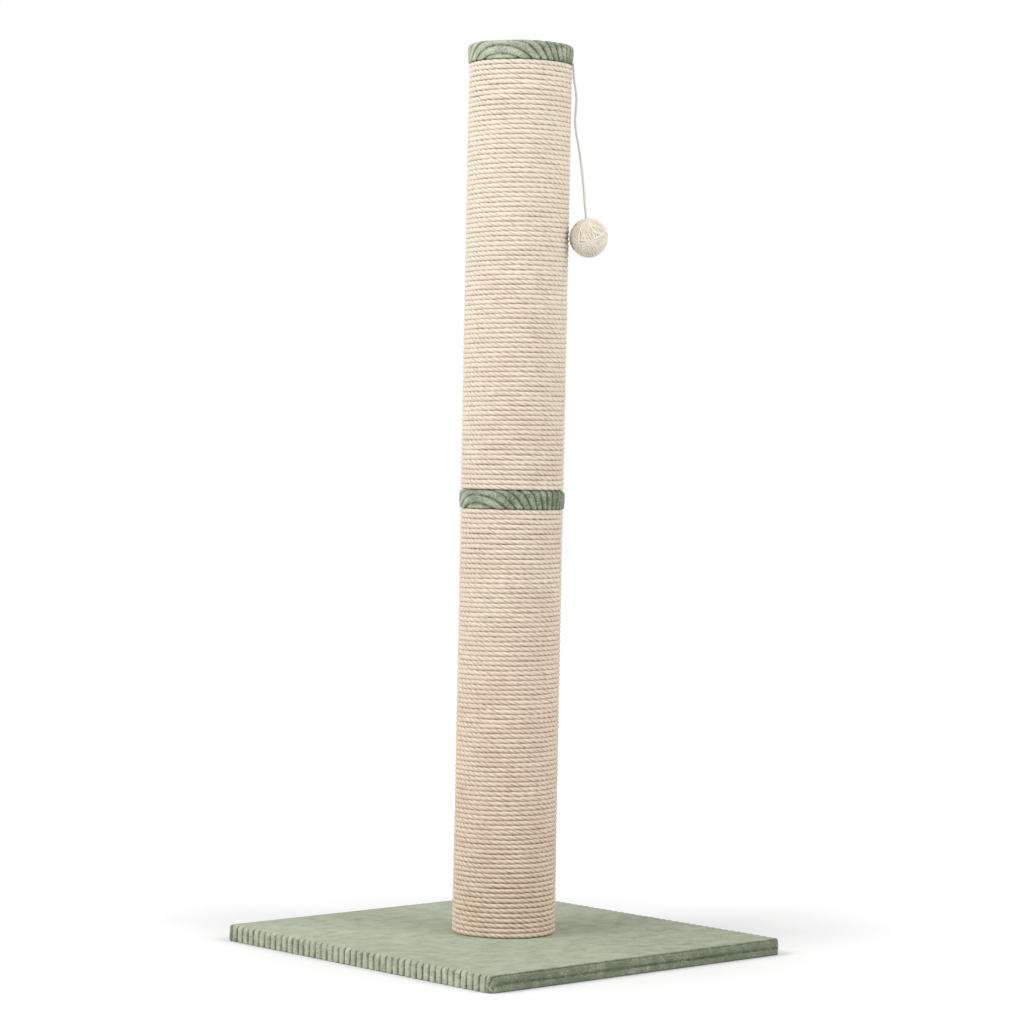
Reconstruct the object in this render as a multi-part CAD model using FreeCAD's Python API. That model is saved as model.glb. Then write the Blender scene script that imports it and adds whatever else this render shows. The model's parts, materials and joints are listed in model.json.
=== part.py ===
"""Cat scratching post: a plush-covered square base, and two alike rope-wound posts, one screwed
onto the other, with a ball on a cord that hangs from under the upper post's cap.

Frame, in millimetres: +Z up, origin at the centre of the base's underside. The wales (ribs) of
the plush on the base run along X, so they stand upright on its two X edges.
"""
import FreeCAD, Part
import math
import os

Vector = FreeCAD.Vector
ORIGIN = Vector(0, 0, 0)
UP = Vector(0, 0, 1)

# Base
BASE_SIDE = 500.0             # over the plush
BOARD_THICKNESS = 15.0
PLUSH_THICKNESS = 3.0         # backing and pile, on the base and on the caps
BASE_CORNER_RADIUS = 10.0     # seen from above
BASE_CORNER_STEPS = 4
BASE_TOP_EDGE = 4.5           # how far the plush rounds the board's upper edge
BASE_TOP_EDGE_STEPS = 2
BASE_BOTTOM_EDGE = 2.0
WALE_PITCH = 11.6
WALE_DEPTH = 1.5
WALE_FLAT = 0.5               # share of a wale that is its crest
HEM_WIDTH = 35.0              # of the plush turned under the board
HEM_CORNER_RADIUS = 4.0
FELT_THICKNESS = 1.5
FELT_GAP = 1.0                # between the felt and the hem, and round the bolt's recess

# Posts
POST_HEIGHT = 562.0           # with its cap
TUBE_DIAMETER = 120.0
TUBE_WALL = 6.0
PLUG_THICKNESS = 18.0
UPPER_POST_TURN = 18.0        # degrees from the lower post, where its thread came tight
FIT_GAP = 0.3                 # glue, or air, between round pieces

# Rope winding
ROPE_DIAMETER = 5.5
ROPE_PITCH = 6.1
ROPE_SIDES = 4                # with a ridge outwards
END_TURNS = 3                 # turns modelled one by one at each end of a winding
STEP_MIDDLE = -45.0           # degrees: middle of the quarter turn in which a turn steps up
CROSSOVER_AT = 47.0           # degrees: where those steps come on the lower post, at the back
PATH_SAMPLES = 16             # points on each piece of the rope's path when its gaps are measured

# Caps
CAP_SKIRT = 24.0              # how far a cap reaches down the post
CAP_SLACK = 1.2               # air between the two layers of the skirt
CAP_EDGE_RADIUS = 6.0
CAP_EDGE_STEPS = 3
CAP_HEM_CHAMFER = 1.8
CAP_HEM_DRAW = 0.6            # the skirt's hem is drawn in by this much
CAP_SIDES = 40
CAP_SLOT_HEIGHT = 2.6         # of the slot in the hem for the toy's cord

# Hardware: M8
ROUND_SIDES = 16              # facets round a small piece
PLUG_SIDES = 48
WASHER_SIDES = 24
THREAD_DIAMETER = 8.0
THREAD_GAP = 0.15
BOLT_LENGTH = 35.0
BOLT_HEAD_WIDTH = 13.0        # across flats
BOLT_HEAD_HEIGHT = 5.3
WASHER_DIAMETER = 30.0
WASHER_THICKNESS = 2.0
RECESS_DIAMETER = 33.0        # in the board, for the bolt's head and washer
RECESS_DEPTH = 8.0
BOARD_HOLE = 9.0
PLUSH_HOLE = 12.0             # in the plush, for the bolt and the stud
STUD_LENGTH = 60.0
STUD_CHAMFER = 1.0
TEE_FLANGE_DIAMETER = 22.0
TEE_FLANGE_THICKNESS = 1.5
TEE_BARREL_DIAMETER = 10.0
TEE_BARREL_LENGTH = 10.0

# Staples
STAPLE_WIRE = 1.0
STAPLE_CROWN = 10.0
STAPLE_LEG = 12.0
STAPLE_SINK = 1.0             # how deep a crown lies in the plush or the rope
STAPLE_FLUSH = 0.2            # how deep a crown lies in the tube
HEM_STAPLES_PER_SIDE = 3
STAPLES_PER_PLUG = 3
PLUG_STAPLE_START = 30.0      # degrees, clear of the toy's cord and of the rope's cut ends

# Toy: its cord's points are distances out from the rope and down from the skirt's edge, in the
# upright plane at TOY_ANGLE
TOY_ANGLE = -51.0             # degrees
CORD_DIAMETER = 2.8
CORD_SIDES = 6
CORD_POINTS = [
    (1.7, 3.0),
    (2.8, 20.0),
    (6.6, 38.0),
    (6.4, 54.0),
    (5.1, 69.0),
    (6.4, 83.5),
    (9.8, 99.0),
    (13.1, 118.0),
    (16.0, 138.5),
    (18.4, 159.0),
    (20.1, 181.0),
]
RUN_SHARE = 0.45              # of the shorter run, taken up by the arc at a corner
TAIL_RISE = 1.6               # of the tail's first corner above the skirt's edge
TAIL_LEAN = 4.8               # height over which the tail leans in to the tube
TAIL_LENGTH = 17.0            # of the tail above the skirt's edge
TAIL_STAPLE_HEIGHT = 12.0
BALL_DIAMETER = 50.4
BALL_DROP = 218.2             # of its middle below the skirt's edge
BALL_SIDES = 20
CORE_DIAMETER = 38.0
CORE_WALL = 1.2
CORE_SIDES = 12
KNOT_DIAMETER = 5.2
KNOT_SIDES = 8

# What follows from them
BASE_HEIGHT = BOARD_THICKNESS + 2 * PLUSH_THICKNESS
TUBE_RADIUS = TUBE_DIAMETER / 2
TUBE_BORE = TUBE_RADIUS - TUBE_WALL
TUBE_HEIGHT = POST_HEIGHT - PLUSH_THICKNESS
ROPE_RADIUS = ROPE_DIAMETER / 2
ROPE_INSIDE = TUBE_RADIUS + FIT_GAP
ROPE_OUTSIDE = ROPE_INSIDE + ROPE_DIAMETER
CAP_RADIUS = TUBE_RADIUS + 2 * PLUSH_THICKNESS + CAP_SLACK
WINDING_HEIGHT = POST_HEIGHT - CAP_SKIRT
WINDING_TURNS = int(WINDING_HEIGHT / ROPE_PITCH)
TURN_RISE = WINDING_HEIGHT / WINDING_TURNS
LOWER_POST_Z = BASE_HEIGHT
UPPER_POST_Z = LOWER_POST_Z + POST_HEIGHT
SKIRT_EDGE_Z = UPPER_POST_Z + WINDING_HEIGHT
THREAD_RADIUS = THREAD_DIAMETER / 2
CORD_RADIUS = CORD_DIAMETER / 2
BALL_RADIUS = BALL_DIAMETER / 2
CORE_RADIUS = CORE_DIAMETER / 2
KNOT_RADIUS = KNOT_DIAMETER / 2
CUT_MARGIN = 2.0              # how far a cutter stands out of what it cuts


# ---- shared shapes ----

def cylinder(radius, height, z=0.0):
    return Part.makeCylinder(radius, height, Vector(0, 0, z))


def ring(outer, inner, height, z=0.0):
    return cylinder(outer, height, z).cut(cylinder(inner, height, z))


def rounded_block(width, depth, corner_radius, height, z=0.0):
    block = Part.makeBox(width, depth, height, Vector(-width / 2, -depth / 2, z))
    upright = [edge for edge in block.Edges if edge.BoundBox.ZLength > height / 2]
    return block.makeFillet(corner_radius, upright)


def polygon(points):
    return Part.makePolygon(points + points[:1])


def stack_of_rings(rings):
    """A closed solid whose sides join one ring of points to the next with flat faces."""
    faces = [Part.Face(polygon(rings[0])), Part.Face(polygon(rings[-1]))]
    for lower, upper in zip(rings, rings[1:]):
        count = len(lower)
        for index in range(count):
            after = (index + 1) % count
            corners = [lower[index], lower[after], upper[after], upper[index]]
            faces.append(Part.Face(polygon(corners)))
    solid = Part.makeSolid(Part.makeShell(faces))
    if solid.Volume < 0:
        solid.reverse()
    return solid


def level_ring(radius, z, sides):
    angles = [2 * math.pi * index / sides for index in range(sides)]
    return [Vector(radius * math.cos(angle), radius * math.sin(angle), z) for angle in angles]


def disc(radius, height, z=0.0, sides=ROUND_SIDES):
    """A round piece of flat facets, for what is small or hidden."""
    return Part.Face(polygon(level_ring(radius, z, sides))).extrude(UP * height)


def faceted_ball(radius, sides):
    """A ball of flat facets round the Z axis, with as many rows as half its sides."""
    rows = sides // 2
    rings = []
    for row in range(rows):
        tilt = math.pi * ((row + 0.5) / rows - 0.5)
        rings.append(level_ring(radius * math.cos(tilt), radius * math.sin(tilt), sides))
    return stack_of_rings(rings)


def turned(shape, degrees):
    copy = shape.copy()
    copy.rotate(ORIGIN, UP, degrees)
    return copy


def moved(shape, offset):
    copy = shape.copy()
    copy.translate(offset)
    return copy


def radial(degrees):
    return Vector(math.cos(math.radians(degrees)), math.sin(math.radians(degrees)), 0)


def staple(place, crown, leg):
    """A U of square wire: place is the middle of its crown's outer face, crown and leg directions."""
    half = STAPLE_CROWN / 2
    inner = half - STAPLE_WIRE
    outline = [(-half, 0), (half, 0), (half, STAPLE_LEG), (inner, STAPLE_LEG),
               (inner, STAPLE_WIRE), (-inner, STAPLE_WIRE), (-inner, STAPLE_LEG), (-half, STAPLE_LEG)]
    thick = crown.cross(leg) * STAPLE_WIRE
    points = [place + crown * across + leg * deep - thick / 2 for across, deep in outline]
    return Part.Face(polygon(points)).extrude(thick)


# ---- paths made of straight runs and arcs ----

def corner_arc(before, corner, after):
    """The arc that leaves and meets the two equal lines through corner without a kink."""
    middle = (before + after) / 2
    half_chord = (after - before).Length / 2
    bend = math.acos(half_chord / (corner - before).Length)
    outward = corner - middle
    outward.normalize()
    crown = middle + outward * half_chord * math.tan(bend / 2)
    return Part.Arc(before, crown, after).toShape()


def biarc(start, start_heading, end, end_heading):
    """Two arcs from start to end that keep both headings."""
    chord = end - start
    both = start_heading + end_heading
    square = 2 * (1 - start_heading.dot(end_heading))
    linear = 2 * chord.dot(both)
    root = math.sqrt(linear * linear + 4 * square * chord.dot(chord))
    reach = (root - linear) / (2 * square)
    first_corner = start + start_heading * reach
    second_corner = end - end_heading * reach
    joint = (first_corner + second_corner) / 2
    return [corner_arc(start, first_corner, joint), corner_arc(joint, second_corner, end)]


def tube_along(edges, diameter, sides, heading, outward):
    """A tube of flat facets along a path that starts with this heading."""
    start = edges[0].valueAt(edges[0].FirstParameter)
    sideways = heading.cross(outward)
    section = []
    for index in range(sides):
        angle = 2 * math.pi * index / sides
        spoke = outward * math.cos(angle) + sideways * math.sin(angle)
        section.append(start + spoke * (diameter / 2))
    return Part.Wire(edges).makePipeShell([polygon(section)], True, False)


def cord_along(points, name):
    """A cord through these points: straight runs, each corner rounded by as large an arc as fits."""
    edges = []
    radii = []
    leave = points[0]
    for before, corner, after in zip(points, points[1:], points[2:]):
        incoming = corner - before
        outgoing = after - corner
        reach = RUN_SHARE * min(incoming.Length, outgoing.Length)
        turn = incoming.getAngle(outgoing)
        radii.append(reach / math.tan(turn / 2))
        arc_start = corner - incoming.normalize() * reach
        arc_end = corner + outgoing.normalize() * reach
        edges.append(Part.LineSegment(leave, arc_start).toShape())
        edges.append(corner_arc(arc_start, corner, arc_end))
        leave = arc_end
    edges.append(Part.LineSegment(leave, points[-1]).toShape())
    heading = points[1] - points[0]
    heading.normalize()
    outward = UP.cross(radial(TOY_ANGLE))
    solid = tube_along(edges, CORD_DIAMETER, CORD_SIDES, heading, outward)
    length = sum(edge.Length for edge in edges)
    section = CORD_SIDES / 2 * CORD_RADIUS ** 2 * math.sin(2 * math.pi / CORD_SIDES)
    print(name, "radii", [round(value, 1) for value in radii], "length", round(length, 1),
          "volume", round(solid.Volume, 1), "section x length", round(section * length, 1))
    return solid


# ---- base ----

def base_ring(inset, z):
    """The plush seen from above at one height, drawn in by inset, with its wales on the X edges."""
    straight = BASE_SIDE / 2 - BASE_CORNER_RADIUS
    crest = BASE_SIDE / 2 - inset
    count = round(2 * straight / WALE_PITCH)
    pitch = 2 * straight / count
    shoulder = pitch * (1 - WALE_FLAT) / 2
    points = []
    for index in range(count):
        start = index * pitch - straight
        points.append(Vector(crest - WALE_DEPTH, start, z))
        points.append(Vector(crest, start + shoulder, z))
        points.append(Vector(crest, start + pitch - shoulder, z))
    points.append(Vector(crest - WALE_DEPTH, straight, z))
    for quarter, side in ((0, 1), (90, -1)):
        centre = Vector(side * straight, straight, z)
        for step in range(BASE_CORNER_STEPS + 1):
            out = radial(quarter + 90 * step / BASE_CORNER_STEPS)
            points.append(centre + out * (BASE_CORNER_RADIUS - inset))
    return points + [Vector(-point.x, -point.y, z) for point in points]


def edge_groove(side):
    """A cutter for the groove between the two wales that show on a Y edge."""
    middle = BASE_HEIGHT - WALE_PITCH
    bottom = BASE_SIDE / 2 - WALE_DEPTH
    reach = WALE_DEPTH + CUT_MARGIN
    corners = [Vector(-BASE_SIDE, side * bottom, middle),
               Vector(-BASE_SIDE, side * (bottom + reach), middle + reach),
               Vector(-BASE_SIDE, side * (bottom + reach), middle - reach)]
    return Part.Face(polygon(corners)).extrude(Vector(2 * BASE_SIDE, 0, 0))


def base_board():
    side = BASE_SIDE - 2 * PLUSH_THICKNESS
    board = rounded_block(side, side, BASE_CORNER_RADIUS, BOARD_THICKNESS, PLUSH_THICKNESS)
    hole = disc(BOARD_HOLE / 2, BOARD_THICKNESS, PLUSH_THICKNESS)
    recess = disc(RECESS_DIAMETER / 2, RECESS_DEPTH, PLUSH_THICKNESS, WASHER_SIDES)
    return board.cut(hole).cut(recess)


def base_plush_cover():
    """The plush: over the board, round its edges, and turned under it as a hem."""
    rings = [base_ring(BASE_BOTTOM_EDGE, 0), base_ring(0, BASE_BOTTOM_EDGE)]
    for step in range(BASE_TOP_EDGE_STEPS + 1):
        tilt = math.pi / 2 * step / BASE_TOP_EDGE_STEPS
        inset = BASE_TOP_EDGE * (1 - math.cos(tilt))
        rings.append(base_ring(inset, BASE_HEIGHT - BASE_TOP_EDGE * (1 - math.sin(tilt))))
    cover = stack_of_rings(rings).cut(edge_groove(1)).cut(edge_groove(-1))
    pocket_side = BASE_SIDE - 2 * PLUSH_THICKNESS
    pocket_radius = BASE_CORNER_RADIUS - PLUSH_THICKNESS
    pocket = rounded_block(pocket_side, pocket_side, pocket_radius, BOARD_THICKNESS, PLUSH_THICKNESS)
    window_side = BASE_SIDE - 2 * HEM_WIDTH
    window = rounded_block(window_side, window_side, HEM_CORNER_RADIUS, BASE_HEIGHT / 2, -CUT_MARGIN)
    hole = disc(PLUSH_HOLE / 2, BASE_HEIGHT, CUT_MARGIN)
    return cover.cut(pocket).cut(window).cut(hole)


def base_underside_felt():
    side = BASE_SIDE - 2 * HEM_WIDTH - 2 * FELT_GAP
    low = PLUSH_THICKNESS - FELT_THICKNESS
    felt = rounded_block(side, side, HEM_CORNER_RADIUS, FELT_THICKNESS, low)
    return felt.cut(disc(RECESS_DIAMETER / 2 + FELT_GAP, FELT_THICKNESS, low, WASHER_SIDES))


def base_hem_staples():
    """Driven up through the hem into the board, along its four sides."""
    inset = BASE_SIDE / 2 - HEM_WIDTH / 2
    spacing = BASE_SIDE / HEM_STAPLES_PER_SIDE
    staples = []
    for quarter in range(4):
        for index in range(HEM_STAPLES_PER_SIDE):
            along = (index + 0.5) * spacing - BASE_SIDE / 2
            place = Vector(inset, along, STAPLE_SINK)
            staples.append(turned(staple(place, Vector(0, 1, 0), UP), 90 * quarter))
    return Part.makeCompound(staples)


# ---- hardware ----

def bolt_seat():
    """Height of the washer's upper face, where it bears on the board."""
    return PLUSH_THICKNESS + RECESS_DEPTH


def base_bolt():
    head_top = bolt_seat() - WASHER_THICKNESS
    corner_radius = BOLT_HEAD_WIDTH / math.sqrt(3)
    head = Part.Face(polygon(level_ring(corner_radius, head_top - BOLT_HEAD_HEIGHT, 6)))
    return head.extrude(UP * BOLT_HEAD_HEIGHT).fuse(disc(THREAD_RADIUS, BOLT_LENGTH, head_top))


def base_bolt_washer():
    low = bolt_seat() - WASHER_THICKNESS
    washer = disc(WASHER_DIAMETER / 2, WASHER_THICKNESS, low, WASHER_SIDES)
    return washer.cut(disc(THREAD_RADIUS + THREAD_GAP, WASHER_THICKNESS, low))


def post_joining_stud():
    middle = UPPER_POST_Z - PLUSH_THICKNESS / 2
    low = middle - STUD_LENGTH / 2
    high = middle + STUD_LENGTH / 2
    tip = THREAD_RADIUS - STUD_CHAMFER
    return stack_of_rings([level_ring(tip, low, ROUND_SIDES),
                           level_ring(THREAD_RADIUS, low + STUD_CHAMFER, ROUND_SIDES),
                           level_ring(THREAD_RADIUS, high - STUD_CHAMFER, ROUND_SIDES),
                           level_ring(tip, high, ROUND_SIDES)])


def tee_nut(plug_face, barrel_side):
    """A nut whose flange bears on a plug's inner face, with its barrel in the plug."""
    flange_low = plug_face if barrel_side < 0 else plug_face - TEE_FLANGE_THICKNESS
    flange = disc(TEE_FLANGE_DIAMETER / 2, TEE_FLANGE_THICKNESS, flange_low)
    barrel_low = plug_face - TEE_BARREL_LENGTH if barrel_side < 0 else plug_face
    barrel = disc(TEE_BARREL_DIAMETER / 2, TEE_BARREL_LENGTH, barrel_low)
    bore = disc(THREAD_RADIUS + THREAD_GAP, POST_HEIGHT, plug_face - POST_HEIGHT / 2)
    return flange.fuse(barrel).cut(bore)


def tee_nuts():
    lower_bottom = tee_nut(LOWER_POST_Z + PLUG_THICKNESS, -1)
    lower_top = tee_nut(LOWER_POST_Z + TUBE_HEIGHT - PLUG_THICKNESS, 1)
    upper_bottom = tee_nut(UPPER_POST_Z + PLUG_THICKNESS, -1)
    return Part.makeCompound([lower_bottom, lower_top, upper_bottom])


# ---- posts, each with its foot at height 0 until it is set in place ----

def tube():
    return ring(TUBE_RADIUS, TUBE_BORE, TUBE_HEIGHT)


def plug(z, has_nut=True):
    wood = disc(TUBE_BORE - FIT_GAP, PLUG_THICKNESS, z, PLUG_SIDES)
    if not has_nut:
        return wood
    return wood.cut(disc(TEE_BARREL_DIAMETER / 2 + THREAD_GAP, PLUG_THICKNESS, z))


def plug_staples():
    """Shot through the tube into both plugs."""
    staples = []
    for height in (PLUG_THICKNESS / 2, TUBE_HEIGHT - PLUG_THICKNESS / 2):
        for index in range(STAPLES_PER_PLUG):
            out = radial(PLUG_STAPLE_START + 360 * index / STAPLES_PER_PLUG)
            place = out * (TUBE_RADIUS - STAPLE_FLUSH) + UP * height
            staples.append(staple(place, UP.cross(out), out * -1))
    return Part.makeCompound(staples)


def rope_spot(degrees, level):
    """A point of the rope's centre line, level counted in turns from the winding's foot."""
    return radial(degrees) * (ROPE_INSIDE + ROPE_RADIUS) + UP * ((level + 0.5) * TURN_RISE)


def rope_heading(degrees):
    return UP.cross(radial(degrees))


def end_turns_path():
    """Each turn lies flat for three quarters and steps up one pitch in the last quarter."""
    start = rope_spot(0, 0)
    run = rope_heading(0) * ROPE_DIAMETER
    edges = [Part.makeLine(start - run, start)]
    for level in range(END_TURNS):
        for quarter in (0, 90, 180):
            edges.append(Part.Arc(rope_spot(quarter, level), rope_spot(quarter + 45, level),
                                  rope_spot(quarter + 90, level)).toShape())
        edges += biarc(rope_spot(270, level), rope_heading(270),
                       rope_spot(360, level + 1), rope_heading(360))
    end = rope_spot(0, END_TURNS)
    edges.append(Part.makeLine(end, end + run))
    return edges


def print_least_gap(edges):
    """The least air between a turn and the next, measured on points of the centre line."""
    points = []
    for edge in edges:
        points += edge.discretize(Number=PATH_SAMPLES)[:-1]
    turn = 2 * math.pi * ROPE_INSIDE
    travelled = [0.0]
    for before, after in zip(points, points[1:]):
        travelled.append(travelled[-1] + (after - before).Length)
    least = min((points[j] - points[i]).Length
                for i in range(len(points)) for j in range(i + 1, len(points))
                if travelled[j] - travelled[i] > turn / 2)
    print("winding", WINDING_TURNS, "turns, least gap between turns", round(least - ROPE_DIAMETER, 2),
          "rope length", round(WINDING_TURNS * 2 * math.pi * (ROPE_INSIDE + ROPE_RADIUS) / 1000, 1), "m")


def sisal_winding():
    """The turns at both ends one by one, and between them a sleeve for the turns that lie alike."""
    path = end_turns_path()
    print_least_gap(path)
    lower_turns = tube_along(path, ROPE_DIAMETER, ROPE_SIDES, rope_heading(0), radial(0))
    end_height = END_TURNS * TURN_RISE
    sleeve = ring(ROPE_OUTSIDE, ROPE_INSIDE, WINDING_HEIGHT - 2 * end_height, end_height)
    # The rope steps up into a notch in the sleeve's edge and meets the notch's end face.
    reach = ROPE_OUTSIDE + CUT_MARGIN
    notch = Part.makeBox(reach, reach + ROPE_DIAMETER, TURN_RISE, Vector(0, -reach, end_height))
    middle = UP * (WINDING_HEIGHT / 2)
    upper_turns = lower_turns.copy()
    upper_turns.rotate(middle, radial(STEP_MIDDLE), 180)
    upper_notch = notch.copy()
    upper_notch.rotate(middle, radial(STEP_MIDDLE), 180)
    sleeve = sleeve.cut(notch).cut(upper_notch)
    winding = Part.makeCompound([lower_turns, sleeve, upper_turns])
    return turned(winding, CROSSOVER_AT - STEP_MIDDLE)


def rope_staples():
    """Through the rope's two cut ends into the tube."""
    lower = staple(radial(0) * (ROPE_OUTSIDE - STAPLE_SINK) + UP * (TURN_RISE / 2),
                   rope_heading(0), radial(180))
    upper = lower.copy()
    upper.rotate(UP * (WINDING_HEIGHT / 2), radial(STEP_MIDDLE), 180)
    return turned(Part.makeCompound([lower, upper]), CROSSOVER_AT - STEP_MIDDLE)


def plush_cap(has_hole):
    """A disc of plush drawn over the tube's end, with its skirt turned in at the hem."""
    top = POST_HEIGHT
    low = top - CAP_SKIRT
    hem_radius = CAP_RADIUS - CAP_HEM_DRAW
    rings = [level_ring(hem_radius - CAP_HEM_CHAMFER, low, CAP_SIDES),
             level_ring(hem_radius, low + CAP_HEM_CHAMFER, CAP_SIDES)]
    for step in range(CAP_EDGE_STEPS + 1):
        tilt = math.pi / 2 * step / CAP_EDGE_STEPS
        out = CAP_RADIUS - CAP_EDGE_RADIUS * (1 - math.cos(tilt))
        rings.append(level_ring(out, top - CAP_EDGE_RADIUS * (1 - math.sin(tilt)), CAP_SIDES))
    inside = ROPE_INSIDE / math.cos(math.pi / CAP_SIDES)
    cap = stack_of_rings(rings).cut(disc(inside, CAP_SKIRT - PLUSH_THICKNESS, low, CAP_SIDES))
    if has_hole:
        cap = cap.cut(disc(PLUSH_HOLE / 2, CAP_SKIRT, low))
    return cap


def post(is_upper):
    """The sub-parts of one post; the upper one's top plug and cap are closed."""
    z = UPPER_POST_Z if is_upper else LOWER_POST_Z
    prefix = "upper_" if is_upper else "lower_"
    shapes = {
        "tube": tube(),
        "bottom_plug": plug(0),
        "top_plug": plug(TUBE_HEIGHT - PLUG_THICKNESS, not is_upper),
        "plug_staples": plug_staples(),
        "sisal_winding": sisal_winding(),
        "rope_staples": rope_staples(),
        "plush_cap": plush_cap(not is_upper),
    }
    turn = UPPER_POST_TURN if is_upper else 0
    return {prefix + name: moved(turned(shape, turn), UP * z) for name, shape in shapes.items()}


# ---- toy ----

def toy_point(distance, height):
    return radial(TOY_ANGLE) * distance + UP * height


def cord_point(out, drop):
    return toy_point(ROPE_OUTSIDE + out, SKIRT_EDGE_Z - drop)


def ball_middle():
    """The ball leans on the rope."""
    return cord_point(FIT_GAP + BALL_RADIUS, BALL_DROP)


def cord_entry():
    """From the ball's middle towards the cord's last point outside the ball."""
    entry = cord_point(*CORD_POINTS[-1]) - ball_middle()
    return entry.normalize()


def knot_middle():
    return ball_middle() + cord_entry() * (CORE_RADIUS - CORE_WALL - FIT_GAP - KNOT_RADIUS)


def knot_face():
    """The middle of the knot's flat, where the cord runs into it."""
    return knot_middle() + cord_entry() * math.sqrt(KNOT_RADIUS ** 2 - CORD_RADIUS ** 2)


def set_on_cord(shape, middle):
    """Turns a shape made round the Z axis onto the line of the cord in the ball."""
    copy = shape.copy()
    copy.Placement = FreeCAD.Placement(middle, FreeCAD.Rotation(UP, cord_entry()))
    return copy


def toy_cord():
    points = [cord_point(out, drop) for out, drop in CORD_POINTS]
    first_run = points[1] - points[0]
    points[0] = points[0] + first_run.normalize() * (CORD_RADIUS + FIT_GAP)
    return cord_along(points + [knot_face()], "toy_cord")


def toy_cord_bend():
    """Where the cord flexes as it comes out from under the skirt."""
    return moved(faceted_ball(CORD_RADIUS, CORD_SIDES), cord_point(*CORD_POINTS[0]))


def tail_points():
    out, drop = CORD_POINTS[0]
    along_tube = ROPE_INSIDE + CORD_RADIUS
    return [cord_point(out, drop - CORD_RADIUS - FIT_GAP),
            cord_point(out, -TAIL_RISE),
            toy_point(along_tube, SKIRT_EDGE_Z + TAIL_RISE + TAIL_LEAN),
            toy_point(along_tube, SKIRT_EDGE_Z + TAIL_LENGTH)]


def toy_cord_tail():
    return cord_along(tail_points(), "toy_cord_tail")


def tail_channel():
    """The room that the cord's tail and its staple take up under the skirt."""
    clear = CORD_RADIUS + FIT_GAP
    inner = ROPE_INSIDE - FIT_GAP
    outer = ROPE_INSIDE + CORD_DIAMETER + FIT_GAP
    low = SKIRT_EDGE_Z - CUT_MARGIN
    slot_top = SKIRT_EDGE_Z + TAIL_RISE + CAP_SLOT_HEIGHT
    lean_top = slot_top + TAIL_LEAN
    side = [(inner, low), (CAP_RADIUS + CUT_MARGIN, low), (CAP_RADIUS + CUT_MARGIN, slot_top),
            (outer, lean_top), (outer, SKIRT_EDGE_Z + TAIL_LENGTH + FIT_GAP),
            (inner, SKIRT_EDGE_Z + TAIL_LENGTH + FIT_GAP)]
    across = UP.cross(radial(TOY_ANGLE)) * clear
    slot = Part.Face(polygon([toy_point(*spot) - across for spot in side])).extrude(across * 2)
    width = STAPLE_CROWN + 2 * FIT_GAP
    height = STAPLE_WIRE + 2 * FIT_GAP
    deep = outer + STAPLE_WIRE - inner
    box = Part.makeBox(deep, width, height,
                       Vector(inner, -width / 2, SKIRT_EDGE_Z + TAIL_STAPLE_HEIGHT - height / 2))
    return slot.fuse(turned(box, TOY_ANGLE))


def toy_cord_staple():
    out = radial(TOY_ANGLE)
    place = out * (ROPE_INSIDE + CORD_DIAMETER + STAPLE_WIRE)
    return staple(place + UP * (SKIRT_EDGE_Z + TAIL_STAPLE_HEIGHT), UP.cross(out), out * -1)


def toy_cord_knot():
    ball = faceted_ball(KNOT_RADIUS, KNOT_SIDES)
    flat = math.sqrt(KNOT_RADIUS ** 2 - CORD_RADIUS ** 2)
    ball = ball.cut(cylinder(KNOT_RADIUS, KNOT_RADIUS, flat))
    return set_on_cord(ball, knot_middle())


def hollow_ball(outer, outer_sides, inner):
    """A ball with a hole for the cord on its +Z side, set on the line of the cord."""
    ball = faceted_ball(outer, outer_sides).cut(faceted_ball(inner, CORE_SIDES))
    hole = Part.Face(polygon(level_ring(CORD_RADIUS + FIT_GAP, 0, CORD_SIDES)))
    return set_on_cord(ball.cut(hole.extrude(UP * 2 * outer)), ball_middle())


def toy():
    return {
        "toy_cord_tail": toy_cord_tail(),
        "toy_cord_staple": toy_cord_staple(),
        "toy_cord_bend": toy_cord_bend(),
        "toy_cord": toy_cord(),
        "toy_cord_knot": toy_cord_knot(),
        "toy_ball_core": hollow_ball(CORE_RADIUS, CORE_SIDES, CORE_RADIUS - CORE_WALL),
        "toy_ball_twine": hollow_ball(BALL_RADIUS, BALL_SIDES, CORE_RADIUS + FIT_GAP),
    }


def sub_parts():
    shapes = {
        "base_board": base_board(),
        "base_plush_cover": base_plush_cover(),
        "base_underside_felt": base_underside_felt(),
        "base_hem_staples": base_hem_staples(),
        "base_bolt": base_bolt(),
        "base_bolt_washer": base_bolt_washer(),
        "post_joining_stud": post_joining_stud(),
        "tee_nuts": tee_nuts(),
    }
    shapes.update(post(is_upper=False))
    shapes.update(post(is_upper=True))
    shapes.update(toy())
    shapes["upper_plush_cap"] = shapes["upper_plush_cap"].cut(tail_channel())
    return shapes


os.makedirs("parts", exist_ok=True)
for node, shape in sub_parts().items():
    shape.exportStep("parts/" + node + ".step")
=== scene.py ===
"""Dresses the frame of a cat scratching post: two rope-wound posts, plush covers and a hanging toy.

Metres, in the frame's own axes: +Z up, origin under the middle of the base, wales along X.
"""
import json
import math

import bmesh
import bpy
import numpy as np
from mathutils import Matrix, Vector


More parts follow.
